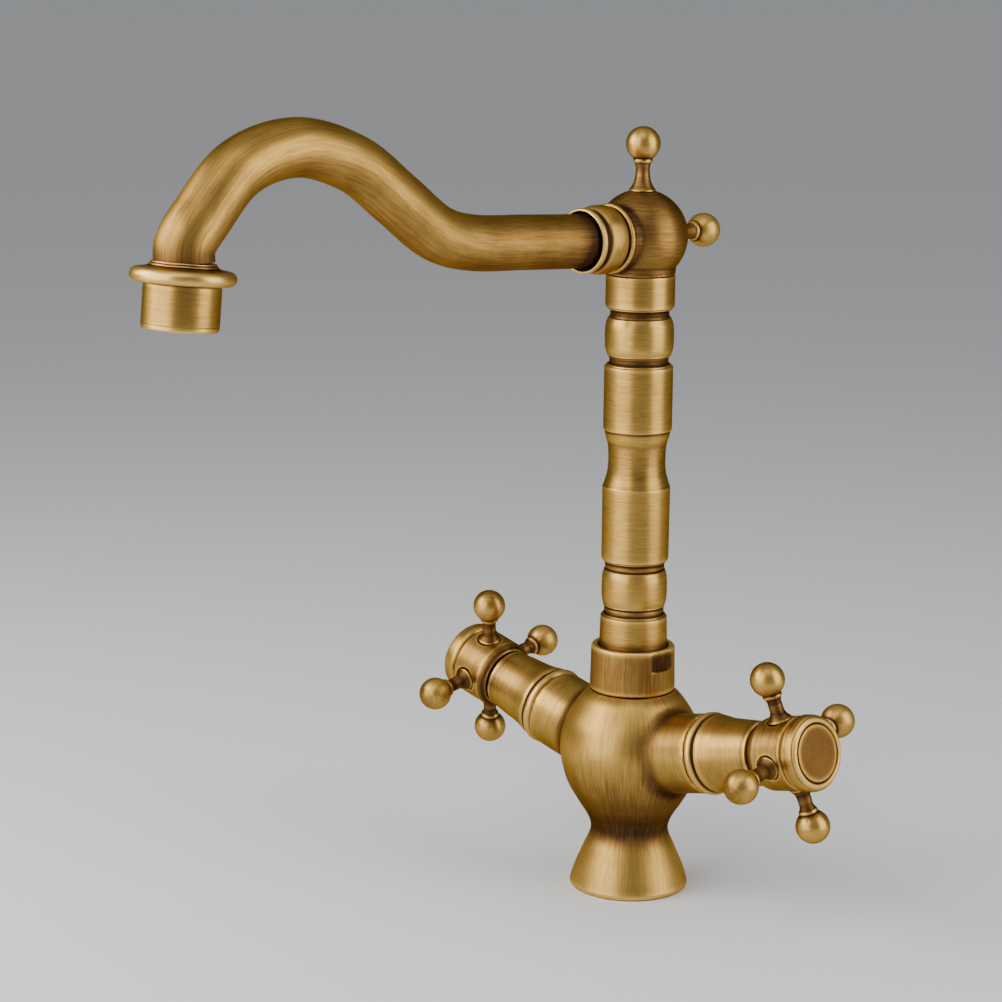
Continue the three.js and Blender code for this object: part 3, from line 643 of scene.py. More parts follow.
class Nodes:
    """A short way to lay out a material's nodes."""

    def __init__(self, name: str) -> None:
        """Makes the material with an empty tree.

        Args:
            name: The material's name.
        """
        self.material = bpy.data.materials.new(name)
        self.material.use_nodes = True
        self.tree = self.material.node_tree
        self.tree.nodes.clear()
        self.shader = self.tree.nodes.new("ShaderNodeBsdfPrincipled")
        output = self.tree.nodes.new("ShaderNodeOutputMaterial")
        self.link(self.shader.outputs["BSDF"], output.inputs["Surface"])

    def link(self, source: Socket, target: Socket) -> None:
        """Joins two sockets."""
        self.tree.links.new(source, target)

    def attribute(self, name: str) -> bpy.types.Node:
        """Adds a node that reads a stored value of the mesh.

        Args:
            name: The value's name.

        Returns:
            The node.
        """
        node = self.tree.nodes.new("ShaderNodeAttribute")
        node.attribute_name = name
        return node

    def noise(self, place: Socket, scale: float, detail: float, rough: float = 0.5) -> Socket:
        """Returns the value of a noise pattern.

        Args:
            place: Where the pattern is read.
            scale: Its scale.
            detail: Its number of octaves.
            rough: How strong the fine octaves are.

        Returns:
            The pattern's value socket.
        """
        node = self.tree.nodes.new("ShaderNodeTexNoise")
        node.inputs["Scale"].default_value = scale
        node.inputs["Detail"].default_value = detail
        node.inputs["Roughness"].default_value = rough
        self.link(place, node.inputs["Vector"])
        return node.outputs["Fac"]

    def math(self, kind: str, a: Socket | float, b: Socket | float = 0.0, c: Socket | float = 0.0) -> Socket:
        """Returns the result of a sum on sockets or numbers.

        Args:
            kind: The operation.
            a: First value.
            b: Second value.
            c: Third value, where the operation has one.

        Returns:
            The result's socket.
        """
        node = self.tree.nodes.new("ShaderNodeMath")
        node.operation = kind
        for value, socket in zip((a, b, c), node.inputs):
            if isinstance(value, bpy.types.NodeSocket):
                self.link(value, socket)
            else:
                socket.default_value = float(value)
        return node.outputs[0]

    def swing(self, value: Socket, middle: float, strength: float, base: Socket) -> Socket:
        """Returns a base value moved by how far another value is from its middle."""
        return self.math("MULTIPLY_ADD", self.math("SUBTRACT", value, middle), strength, base)

    def ramp(self, value: Socket, stops: Sequence[tuple[float, Colour]]) -> Socket:
        """Returns a colour looked up along a row of stops.

        Args:
            value: Where to look, from 0 to 1.
            stops: Place and colour of each stop.

        Returns:
            The colour's socket.
        """
        node = self.tree.nodes.new("ShaderNodeValToRGB")
        places = node.color_ramp.elements
        while len(places) < len(stops):
            places.new(0.5)
        for element, (place, colour) in zip(places, stops):
            element.position = place
            element.color = (*colour, 1)
        self.link(value, node.inputs["Fac"])
        return node.outputs["Color"]

    def bump(self, height: Socket, strength: float, depth: float) -> None:
        """Gives the shader a bump.

        Args:
            height: The pattern that stands up.
            strength: How much of it shows.
            depth: Its depth in metres.
        """
        node = self.tree.nodes.new("ShaderNodeBump")
        node.inputs["Strength"].default_value = strength
        node.inputs["Distance"].default_value = depth
        self.link(height, node.inputs["Height"])
        self.link(node.outputs["Normal"], self.shader.inputs["Normal"])

    def object_place(self) -> Socket:
        """Returns the place on the object, in metres."""
        return self.tree.nodes.new("ShaderNodeTexCoord").outputs["Object"]


@dataclass(frozen=True)
class AntiqueBrass:
    """Brass darkened with patina, then brushed back so that it stays in the grooves; its darkest tones also paint
    shade at joints and in recesses.

    Attributes:
        name: The material's name.
        rubbed: Colour of rubbed edges.
        plain: Colour of the brushed faces.
        aged: Colour where the brush took little away.
        patina_and_shade: Colour in the grooves and in the painted shade at joints and recesses.
        stops: How deep in patina and painted shade each of the four colours lies.
        edge: Tint of grazing reflections.
        streak: How strongly scratches change the tone.
        fine: Share of the fine scratches among all.
        cloud: How strongly broad clouds change the tone.
        rough: Roughness of the brushed faces.
        sheen: How much the scratches change the roughness.
        depth: Depth of the scratches in metres.
        run: How far the scratches draw the highlights out, across their own run.
    """

    name: str = "antique_brass"
    rubbed: Colour = (0.70, 0.435, 0.128)
    plain: Colour = (0.475, 0.279, 0.064)
    aged: Colour = (0.22, 0.112, 0.030)
    patina_and_shade: Colour = (0.050, 0.023, 0.011)
    stops: tuple[float, ...] = (0.12, 0.46, 0.68, 0.95)
    edge: Colour = (0.50, 0.40, 0.28)
    streak: float = 0.34
    fine: float = 0.66
    cloud: float = 0.22
    rough: float = 0.37
    sheen: float = 0.22
    depth: float = 0.00005
    run: float = 0.5

    def scratches(self, n: Nodes) -> Socket:
        """Mixes the scratches of the two ways in which a surface may be worked.

        Args:
            n: The material's nodes.

        Returns:
            The pattern, from 0 to 1.
        """
        share = n.attribute("share").outputs["Fac"]
        tones = []
        for label in ("stroke", "second"):
            place = n.attribute(label).outputs["Vector"]
            fine = n.noise(place, 1.0, 3.0, 0.62)
            broad = n.noise(place, 0.33, 2.0, 0.55)
            tones.append(n.math("MULTIPLY_ADD", fine, self.fine, n.math("MULTIPLY", broad, 1 - self.fine)))
        first = n.math("MULTIPLY", tones[0], n.math("SUBTRACT", 1.0, share))
        return n.math("MULTIPLY_ADD", tones[1], share, first)

    def build(self) -> bpy.types.Material:
        """Builds the node tree.

        Returns:
            The material.
        """
        n = Nodes(self.name)
        inputs = n.shader.inputs
        scratches = self.scratches(n)
        cloud = n.noise(n.object_place(), 55.0, 3.0, 0.55)
        # patina in the grooves plus painted shade at joints and in recesses
        deep = n.attribute("patina_and_shade").outputs["Fac"]
        tone = n.swing(scratches, 0.5, self.streak * 2, deep)
        tone = n.swing(cloud, 0.5, self.cloud, tone)
        colours = (self.rubbed, self.plain, self.aged, self.patina_and_shade)
        n.link(n.ramp(tone, tuple(zip(self.stops, colours))), inputs["Base Color"])
        rough = n.math("MULTIPLY_ADD", scratches, self.sheen, self.rough - self.sheen / 2)
        dull = n.math("MAXIMUM", n.math("SUBTRACT", deep, 0.55), 0.0)
        n.link(n.math("MULTIPLY_ADD", dull, 0.5, rough), inputs["Roughness"])
        inputs["Metallic"].default_value = 1.0
        inputs["Specular Tint"].default_value = (*self.edge, 1)
        inputs["Anisotropic"].default_value = self.run
        inputs["Anisotropic Rotation"].default_value = 0.25
        turn = n.tree.nodes.new("ShaderNodeVectorTransform")
        turn.vector_type, turn.convert_from, turn.convert_to = "VECTOR", "OBJECT", "WORLD"
        n.link(n.attribute("grain").outputs["Vector"], turn.inputs["Vector"])
        n.link(turn.outputs["Vector"], inputs["Tangent"])
        n.bump(scratches, 0.6, self.depth)
        return n.material


@dataclass(frozen=True)
class PlainFinish:
    """A plain surface with a fine mottle in its tone, gloss and relief.

    Attributes:
        name: The material's name.
        colour: Its colour.
        darker: Its colour in the mottle's dark places.
        metallic: 1 for metal, 0 for anything else.
        rough: Its mean roughness.
        scale: Scale of the mottle.
        relief: Depth of its relief in metres.
    """

    name: str
    colour: Colour
    darker: Colour
    metallic: float
    rough: float
    scale: float
    relief: float

    def build(self) -> bpy.types.Material:
        """Builds the node tree.

        Returns:
            The material.
        """
        n = Nodes(self.name)
        place = n.object_place()
        mottle = n.noise(place, self.scale, 4.0, 0.6)
        n.link(n.ramp(mottle, ((0.35, self.darker), (0.62, self.colour))), n.shader.inputs["Base Color"])
        n.shader.inputs["Metallic"].default_value = self.metallic
        n.link(n.math("MULTIPLY_ADD", mottle, 0.2, self.rough - 0.1), n.shader.inputs["Roughness"])
        n.bump(n.noise(place, self.scale * 6, 2.0), 0.5, self.relief)
        return n.material


class Finishes:
    """Every finish of the faucet, built once."""

    def __init__(self) -> None:
        """Builds one material for each slot."""
        rows = {
            Slot.BARE: ((0.68, 0.47, 0.17), (0.50, 0.33, 0.11), 1.0, 0.32, 900, 0.00001),
            Slot.STEEL: ((0.60, 0.60, 0.61), (0.42, 0.42, 0.43), 1.0, 0.28, 900, 0.00001),
            Slot.RUBBER: ((0.022, 0.022, 0.023), (0.012, 0.012, 0.012), 0.0, 0.72, 1400, 0.00002),
            Slot.PLASTIC: ((0.74, 0.72, 0.66), (0.66, 0.63, 0.57), 0.0, 0.45, 700, 0.00001),
            Slot.CERAMIC: ((0.86, 0.85, 0.82), (0.80, 0.79, 0.75), 0.0, 0.18, 500, 0.000004),
        }
        self.by_slot = {slot.value: PlainFinish(slot.value, *row).build() for slot, row in rows.items()}
        self.by_slot[Slot.BRASS.value] = AntiqueBrass().build()
        self.blasted = AntiqueBrass(name="blasted_brass", streak=0.22, rough=0.46, run=0.0).build()

    def dress(self, piece: bpy.types.Object, slot: Slot, blasted: bool = False) -> None:
        """Gives a piece the finish of a slot.

        Args:
            piece: The piece.
            slot: The slot.
            blasted: Whether brass is blasted instead of brushed.
        """
        piece.data.materials.clear()
        piece.data.materials.append(self.blasted if blasted else self.by_slot[slot.value])


@dataclass
class Assembly:
    """What every sub-assembly shares.

    Attributes:
        finishes: The finishes.
        body: The CAD body that its pieces ride on.
    """

    finishes: Finishes
    body: str

    def place(self, name: str, surface: Surface, node: str, blasted: bool = False) -> None:
        """Turns a surface into a finished brass piece that stands for a CAD node.

        Args:
            name: The piece's name.
            surface: Its surface.
            node: The CAD node that it stands for.
            blasted: Whether its brass is blasted.
        """
        piece = surface.to_object(name)
        self.finishes.dress(piece, Slot.BRASS, blasted)
        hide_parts(node)
        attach(piece, self.body)
        LOG.info("%s: %d faces, %s", name, len(piece.data.polygons), "blasted" if blasted else "brushed")


# ---------------------------------------------------------------- body and valves


@dataclass
class BodyCasting(Assembly):
    """The cast body: foot, urn and two valve arms in one piece.

    Attributes:
        arms: The seats of the two arms, hot first.
        neck: Radius and height of the narrowest place above the foot.
        urn: Radius and height of the widest place of the urn.
        arm_radius: Outer radius of an arm.
        arm_length: Distance from the upright axis to an arm's end.
        valve_bore: Radius of the bore in an arm.
        valve_floor: Height of the bore's floor along the arm.
        recess: Radius of the hollow under the foot.
        recess_top: Height of the hollow's top.
        gasket: Inner and outer radius of the gasket's groove.
        port: Radius of a hose port and its distance from the axis.
        stud: Radius of the stud's hole and its distance from the axis.
        socket: Radius and floor height of the bore that takes the column's spigot.
        fillet: Size of the blend between an arm and the urn.
        cell: Size of the skin's faces.
    """

    arms: tuple[Seat, Seat]
    neck: tuple[float, float] = (17.3, 25.5)
    urn: tuple[float, float] = (31.5, 63.0)
    arm_radius: float = 17.3
    arm_length: float = 48.4
    valve_bore: float = 12.5
    valve_floor: float = 14.0
    recess: float = 19.5
    recess_top: float = 24.0
    gasket: tuple[float, float] = (21.7, 24.5)
    port: tuple[float, float] = (4.6, 6.8)
    stud: tuple[float, float] = (3.3, 9.4)
    socket: tuple[float, float] = (10.2, 74.0)
    fillet: float = 3.2
    cell: float = 0.8

    def outline(self) -> list[Corner]:
        """Draws the foot, the urn and the threaded boss.

        Returns:
            The outline's corners.
        """
        top = float(node_box("mixer_body")[1][2])
        foot = node_box("foot_gasket")[1][0] + 2.15
        nut_low, nut_high = node_box("column_collar")
        shoulder, seat_radius = nut_low[2] - 0.4, nut_high[0] + 0.1
        boss = seat_radius - 2.0
        (neck, neck_height), (urn, urn_height) = self.neck, self.urn
        flare = flowing([
            (foot, 2.0), (foot - 2.3, 9.0), (foot - 6.1, 18.0), (neck, neck_height), (neck + 1.4, 32.0),
            (neck + 6.6, 40.3), (urn - 2.6, 49.8), (urn, urn_height), (urn - 2.2, 75.6), (urn - 8.2, 85.8),
            (seat_radius, shoulder),
        ], 6)
        return [
            (0, 0, 0), (foot - 1.0, 0, 0.4), (foot - 0.15, 0.7, 0.5), *flare,
            (boss, shoulder, 0), (boss, top, 0.5), (0, top, 0),
        ]

    def casting(self) -> Casting:
        """Blends the arms into the urn and cuts the bores.

        Returns:
            The casting, with the urn as its first part and the arms as its second.
        """
        r, end, arm, below, port_floor = self.arm_radius, self.arm_length, self.arms[1], -3.0, 20.0
        urn = Turning(self.outline(), upright())
        arms = Turning([(0, 0, 0), (r + 0.3, 0, 0), (r, end, 0.5), (0, end, 0)], arm, True)
        recess = Turning([
            (0, below, 0), (self.recess, below, 0), (self.recess, 3, 0), (14, self.recess_top, 1.0),
            (0, self.recess_top, 0),
        ], upright())
        inner, outer = self.gasket
        groove = Turning([(inner, below, 0), (outer, below, 0), (outer, 1.9, 0), (inner, 1.9, 0)], upright())
        (port, port_away), (stud, stud_away), (socket, floor) = self.port, self.stud, self.socket
        return Casting([urn, arms], [
            rod(self.valve_bore, self.valve_floor, end + 3, arm, True),
            rod(port, port_floor, port_floor + 13, Seat((port_away, 0, 0), (0, 0, 1), (1, 0, 0)), True),
            recess, groove,
            rod(stud, port_floor, port_floor + 16, Seat((0, stud_away, 0), (0, 0, 1), (1, 0, 0))),
            rod(socket, floor, floor + 25, upright()),
        ], self.fillet)

    def build(self) -> None:
        """Casts the body and dresses it: brushed up and down the urn, and round the arms."""
        casting = self.casting()
        skin = casting.skin("mixer_body", self.cell)
        points, height = skin.points, skin.points[:, 2]
        urn, arms = casting.parts
        nearer = urn.distance(points) - arms.distance(points)
        share = np.clip(0.5 + nearer / 3.0, 0, 1)
        angle = np.arctan2(points[:, 1], points[:, 0])
        local = self.arms[1].into(folded(points))
        around, along = np.arctan2(local[:, 1], local[:, 0]), local[:, 2]
        up = np.array([0, 0, 1.0]) - skin.normals * skin.normals[:, 2:3]
        flip = np.where(points[:, :1] < 0, [[-1.0, 1.0, 1.0]], [[1.0, 1.0, 1.0]])
        swirl = np.cross(self.arms[1].basis()[2] * flip, skin.normals)
        grain = unit(up * (1 - share[:, None]) + swirl * share[:, None])
        patina_and_shade = skin.hollows(8, 1.1)
        # patina and painted shade at the neck and under the urn; painted shade under the collar, in the creases
        # where the arms meet the urn and at the arms' ends beside the beads
        patina_and_shade += band(height, self.neck[1] + 4.5, 8.0, 0.34)
        patina_and_shade += band(height, 45.0, 12.0, 0.24) + band(height, 85.0, 28.0, 0.06) + band(height, 90.6, 2.2, 0.18)
        patina_and_shade += band(nearer, 0.0, 3.0, 0.16) * (along > 20)
        patina_and_shade += band(along, self.arm_length, 0.7, 0.35) * share
        self.place("body_casting", Surface(
            points, skin.quads.tolist(),
            strokes(Brush.ALONG, angle, height, 24.0), grain, np.clip(patina_and_shade, 0, 1),
            strokes(Brush.AROUND, around, along, self.arm_radius), share,
        ), "mixer_body")


@dataclass
class BonnetSleeve(Assembly):
    """The tapered sleeve over a valve, with a bead where it meets the arm.

    Attributes:
        label: Hot or cold.
        arm: The arm's seat.
        start: Height of its inner end.
        end: Height of its outer end.
        root: Radius beside the bead.
        tip: Radius at the outer end.
        bead: Length of the bead.
        bore: Radius of the bore.
        mouth: Radius of the hole in the outer end.
    """

    label: str
    arm: Seat
    start: float = 48.7
    end: float = 81.0
    root: float = 16.8
    tip: float = 13.8
    bead: float = 4.3
    bore: float = 11.9
    mouth: float = 9.3

    def build(self) -> None:
        """Turns the sleeve and dresses it."""
        a, b, end, root = self.start, self.start + self.bead, self.end, self.root
        taper = flowing([
            (root, b + 2.6), (root - 0.5, b + 4.6), (root - 1.25, b + 8.0), (root - 1.8, b + 12.0),
            (root - 2.3, b + 18.0), (self.tip, end - 2.5),
        ], 6)
        line = rounded([
            (self.bore, a, 0), (15.9, a, 0.3), *bow((15.8, (a + b) / 2), 2.1, -72, 72, 14),
            (root - 0.5, b + 0.15, 0.25), (root - 0.5, b + 0.7, 0.25), (root, b + 1.2, 0.4), *taper,
            (self.tip, end, 0.8), (self.mouth, end, 0), (self.mouth, end - 3, 0), (self.bore, end - 3, 0),
        ], True, 0.7)
        # painted shade in the crevices beside the bead and at the end by the hub's cup
        shade = [(b + 0.3, 0.9, 0.35), (a + 0.2, 0.7, 0.3), (end, 2.5, 0.2)]
        surface = turned(line, self.arm, Brush.AROUND, 112, True, shade)
        self.place(f"{self.label}_sleeve", surface, f"{self.label}_bonnet_sleeve")


# ---------------------------------------------------------------- knobs and handles


def ball_knob(seat: float, base: float, reach: float, ball: float, stub: tuple[float, float]) -> np.ndarray:
    """Draws a ball on a waisted stem with a small lip under the ball.

    Args:
        seat: Height at which the stem stands.
        base: Radius of the stem's foot.
        reach: Height of the ball's centre.
        ball: The ball's radius.
        stub: Radius and length of the stub below the seat.

    Returns:
        The outline.
    """
    neck = reach - math.sqrt(ball**2 - 4.0**2)
    rise = neck - 1.9 - seat
    stem = flowing([
        (base, seat + 0.5), (base * 0.80, seat + rise * 0.17), (base * 0.62, seat + rise * 0.36),
        (3.05, seat + rise * 0.64), (3.0, seat + rise * 0.82), (3.5, neck - 1.9),
    ], 6)
    return rounded([
        (0, seat - stub[1], 0), (stub[0], seat - stub[1], 0.3), (stub[0], seat, 0), (base, seat, 0.3), *stem,
        (3.95, neck - 1.6, 0.3), (4.25, neck - 0.9, 0.5), (4.15, neck - 0.3, 0.3), (3.98, neck - 0.1, 0.1),
        *bow((0, reach), ball, -56, 89, 34), (0, reach + ball, 0),
    ], False, 0.7)


@dataclass
class CrossHandle(Assembly):
    """A cross handle: a cupped hub, four ball-ended spokes and a cap with a disc set in it.

    Attributes:
        label: Hot or cold.
        arm: The arm's seat, with its side towards the first spoke.
        plane: Height of the spokes.
        back: How far the hub's cup reaches back from the spokes.
        front: How far the hub reaches forward from the spokes.
        top: How far the cap reaches forward from the spokes.
        radius: Radius of the hub.
        cup: Radius of the cup, and its depth.
        reach: Distance of a ball's centre from the axis.
        ball: Radius of a ball.
        base: Radius of a spoke's foot.
        cap: Radius of the cap.
        disc: Radius of the disc in the cap.
        cell: Size of the hub's faces.
    """

    label: str
    arm: Seat
    plane: float = SPOKE_PLANE
    back: float = 12.2
    front: float = 7.6
    top: float = 15.4
    radius: float = 15.8
    cup: tuple[float, float] = (12.6, 8.0)
    reach: float = 33.6
    ball: float = 7.4
    base: float = 5.2
    cap: float = 16.3
    disc: float = 12.3
    cell: float = 0.42

    def casting(self) -> Casting:
        """Shapes the hub with its cup, its screw's hole and its four sockets.

        Returns:
            The casting.
        """
        r, low, high, stem = self.radius, self.plane - self.back, self.plane + self.front, self.plane + 1.8
        cup, depth = self.cup
        hub = Turning([
            (cup, low + 0.5, 0.3), (cup + 0.6, low, 0.3), (cup + 1.2, low + 0.25, 0.4), (r - 0.75, low + 2.1, 1.5),
            (r, low + 4.4, 1.2), (r, high - 0.5, 0.5), (r - 0.6, high, 0.3),
            (4.5, high, 0), (4.5, high - 3.6, 0), (2.4, high - 3.6, 0), (2.4, stem, 0),
            (4.4, stem, 0), (4.4, low + depth, 0), (cup, low + depth, 0.8),
        ], self.arm)
        socket = [
            (0, r - 6.6, 0), (3.1, r - 6.6, 0), (3.1, r - 3, 0), (self.base + 0.4, r - 1.1, 0.3),
            (self.base + 0.75, r + 2, 0), (0, r + 2, 0),
        ]
        return Casting([hub], [Turning(socket, self.arm.branch(self.plane, 90 * k)) for k in range(4)])

    def build_hub(self) -> None:
        """Casts the hub and dresses it, brushed round its axis."""
        node = f"{self.label}_handle_hub"
        skin = self.casting().skin(node, self.cell)
        local = self.arm.into(skin.points)
        angle, away = np.arctan2(local[:, 1], local[:, 0]), np.hypot(local[:, 0], local[:, 1])
        height = local[:, 2] - self.plane
        # painted shade at the front edge under the cap, within 13.9 mm of the axis inside the cup, and on the cup's
        # back rim
        patina_and_shade = skin.hollows(7, 2.2) + 0.12 + band(height, self.front, 1.0, 0.25)
        patina_and_shade += np.clip((self.radius - 1.9 - away) / 1.5, 0, 1) * 0.35
        patina_and_shade += np.clip((-8.3 - height) / 2.2, 0, 1) * 0.34
        self.place(f"{self.label}_hub", Surface(
            skin.points, skin.quads.tolist(), strokes(Brush.AROUND, angle, local[:, 2] - away, self.radius),
            skin.across(self.arm.basis()[2]), np.clip(patina_and_shade, 0, 1),
        ), node)

    def build_spokes(self) -> None:
        """Turns the four spokes, each on its own axis."""
        foot = self.radius - 0.6
        line = ball_knob(foot, self.base, self.reach, self.ball, (2.8, 6.0))
        # painted shade where the stem meets the hub; the stem and the ball's tip darker
        shade = [
            (foot + 0.2, 1.4, 0.35), (foot + 6.0, 6.0, 0.20), (self.reach, 14.0, 0.05),
            (self.reach + self.ball, 2.6, 0.2),
        ]
        for k in range(4):
            surface = turned(line, self.arm.branch(self.plane, 90 * k), Brush.AROUND, 56, shade=shade)
            self.place(f"{self.label}_cross_spoke_{k + 1}", surface, f"{self.label}_spoke_{k + 1}")

    def ring_of_patina(self, surface: Surface, ground: float) -> None:
        """Darkens a cap piece evenly, and more where the disc meets the rim.

        Args:
            surface: The piece's surface.
            ground: How much the whole piece is darkened.
        """
        local = self.arm.into(surface.points)
        away = np.hypot(local[:, 0], local[:, 1])
        surface.darken(ground + band(away, self.disc + 0.15, 0.7, 0.6))

    def build_cap(self) -> None:
        """Turns the cap's rim and the disc set in it, and dresses both."""
        r, disc, eye, low, high = self.cap, self.disc, 6.2, self.plane + self.front + 0.3, self.plane + self.top
        rim = rounded([
            (eye, low, 0), (r - 1.3, low, 0.3), (r - 0.45, low + 0.5, 0.6), (r, low + 1.8, 1.6),
            (r - 0.05, low + 4.2, 2.0), (r - 0.5, high - 1.35, 0.5), (r - 0.95, high - 1.1, 0.25),
            (r - 1.3, high - 0.45, 0.4), (r - 2.1, high, 0.5), (disc + 0.75, high, 0.3),
            (disc + 0.3, high - 0.5, 0.15), (disc + 0.3, high - 2, 0), (eye, high - 2, 0),
        ], True, 0.6)
        # painted shade where the cap sits against the hub, and a thin darker line at the step
        surface = turned(rim, self.arm, Brush.AROUND, 112, True, [(low + 0.3, 0.8, 0.3), (high - 1.4, 0.35, 0.16)])
        self.ring_of_patina(surface, 0.13)
        self.place(f"{self.label}_cap_rim", surface, f"{self.label}_cap_bezel")
        face = turned(rounded([
            (0, high - 1.7, 0), (disc, high - 1.7, 0), (disc, high - 0.25, 0.3), (disc - 0.7, high, 0.4),
            (0, high, 0),
        ], False, 0.6), self.arm, Brush.BLASTED, 112)
        self.ring_of_patina(face, 0.25)
        self.place(f"{self.label}_cap_disc", face, f"{self.label}_cap_index", blasted=True)

    def build(self) -> None:
        """Builds every visible piece of the handle."""
        self.build_hub()
        self.build_spokes()
        self.build_cap()


# ---------------------------------------------------------------- column and elbow


@dataclass
class TurnedColumn(Assembly):
    """The turned column.

    Attributes:
        radius: The column's largest radius.
        bore: Radius of its bore.
        grooves: Height and depth of each rounded groove, from below.
        half_groove: Half the width of a groove with its steps.
        waist: Height and depth of the waist.
    """

    radius: float = 15.0
    bore: float = 9.9
    grooves: tuple[tuple[float, float], ...] = ((126.5, 2.0), (147.2, 2.1), (237.4, 2.3), (258.4, 2.4))
    half_groove: float = 2.45
    waist: tuple[float, float] = (194.6, 2.5)

    def groove(self, index: int, below: float, above: float) -> list[Corner]:
        """Draws one groove: a small step at each edge and a rounded floor.

        Args:
            index: Which groove.
            below: Radius of the column just under it.
            above: Radius of the column just over it.

        Returns:
            Its corners.
        """
        height, depth = self.grooves[index]
        floor = self.radius - depth + 0.15
        return [
            (below, height - self.half_groove, 0.3), (below - 0.7, height - 2.05, 0.15),
            (below - 0.75, height - 1.6, 0.15), (floor, height - 1.0, 0.4), (floor, height + 1.0, 0.4),
            (above - 0.75, height + 1.6, 0.15), (above - 0.7, height + 2.05, 0.15),
            (above, height + self.half_groove, 0.3),
        ]

    def bead(self, index: int, edge: float, middle: float) -> list[Corner]:
        """Draws the barrel-shaped bead between two grooves.

        Args:
            index: The groove below it.
            edge: Radius at its ends.
            middle: Radius at its middle.

        Returns:
            Its corners.
        """
        a = self.grooves[index][0] + self.half_groove
        b = self.grooves[index + 1][0] - self.half_groove
        swell = middle - edge
        half = [(edge, a), (edge + swell * 0.5, a + 1.5), (edge + swell * 0.86, a + 3.6)]
        other = [(radius, a + b - height) for radius, height in reversed(half)]
        return flowing([*half, (middle, (a + b) / 2), *other], 6)[2:-2]

    def build(self) -> None:
        """Turns the column and dresses it, brushed round its axis."""
        r = self.radius
        low, high = node_box("column")
        start, end, flange = float(low[2]), float(high[2]), float(high[0])
        hip, depth = self.waist
        waist = flowing([
            (r - 0.5, hip - 11.9), (r - 1.35, hip - 9.2), (r - 2.1, hip - 6.4), (r - depth + 0.05, hip - 3.2),
            (r - depth, hip), (r - depth + 0.1, hip + 3.4), (r - 2.05, hip + 6.4), (r - 1.2, hip + 9.2),
            (r - 0.55, hip + 12.2),
        ], 5)
        line = rounded([
            (self.bore, start, 0), (flange, start, 0), (flange, start + 2.6, 0), (r, start + 2.6, 0),
            (r - 0.1, 116.0, 2.0),
            *self.groove(0, r - 0.35, r - 1.3), *self.bead(0, r - 1.5, r - 0.55), *self.groove(1, r - 1.4, r - 0.35),
            (r - 0.25, 151.0, 1.0), (r - 0.15, hip - 12.6, 0.3), *waist, (r - 0.05, hip + 12.8, 0.25),
            (r, hip + 14.5, 0.4),
            *self.groove(2, r - 0.05, r - 1.1), *self.bead(2, r - 1.3, r - 0.02), *self.groove(3, r - 1.2, r - 0.1),
            (r, 262.0, 1.0), (r, end, 0.3), (self.bore, end, 0),
        ], True, 0.8)
        nut_top = node_box("column_collar")[1][2]
        shade = [(height, 1.7, 0.12) for height, _ in self.grooves]
        # painted shade just above the nut, thin painted shade lines at the waist's edges and at the top under the
        # elbow; the grooves above are darker with patina
        shade += [
            (nut_top + 0.6, 2.2, 0.3), (hip + 12.0, 0.45, 0.22), (hip - 12.1, 0.4, 0.2), (hip, 6.0, 0.05),
            (end, 1.2, 0.2),
        ]
        self.place("turned_column", turned(line, upright(), Brush.AROUND, 128, True, shade), "column")


@dataclass
class ColumnNut(Assembly):
    """The nut that holds the column's foot.

    Attributes:
        thread: Radius of its thread.
        hole: Radius of the hole round the column.
        lid: Thickness of the lid over the column's flange, and of the lid with its chamfer.
        flat_width: Width of its spanner flats.
        flat_height: Height of the spanner flats.
        flat_cut: How deep the flats are cut.
    """

    thread: float = 17.3
    hole: float = 15.5
    lid: float = 9.4
    flat_width: float = 12.4
    flat_height: float = 9.0
    flat_cut: float = 0.35

    def build(self) -> None:
        """Turns the nut, cuts its spanner flats and dresses it, brushed up and down."""
        low, high = node_box("column_collar")
        r, a, b = float(high[0]), float(low[2]), float(high[2])
        line = rounded([
            (self.thread, a, 0), (r - 0.35, a, 0.3), (r, a + 0.7, 0.4), (r - 0.35, b - 0.8, 0.8), (r - 1.1, b, 0.6),
            (self.hole + 0.4, b, 0.4), (self.hole, b - 0.6, 0.3), (self.hole, b - self.lid, 0),
            (self.thread, b - self.lid, 0),
        ], True, 0.6)
        # painted shade where the nut sits on the body
        surface = turned(line, upright(), Brush.ALONG, 192, True, [(a, 0.8, 0.25)])
        half = self.flat_width / 2
        flat = math.sqrt(r**2 - half**2) - self.flat_cut
        p = surface.points
        cut = (np.abs(p[:, 1]) < half) & (p[:, 2] > b - self.flat_height) & (np.abs(p[:, 0]) > flat)
        cut &= np.hypot(p[:, 0], p[:, 1]) > 16.6
        p[cut, 0] = np.sign(p[cut, 0]) * flat
        surface.darken(0.13)
        # painted shade on the spanner flats, standing for the shadowed notch
        surface.darken(0.28 * cut)
        self.place("column_nut", surface, "column_collar")


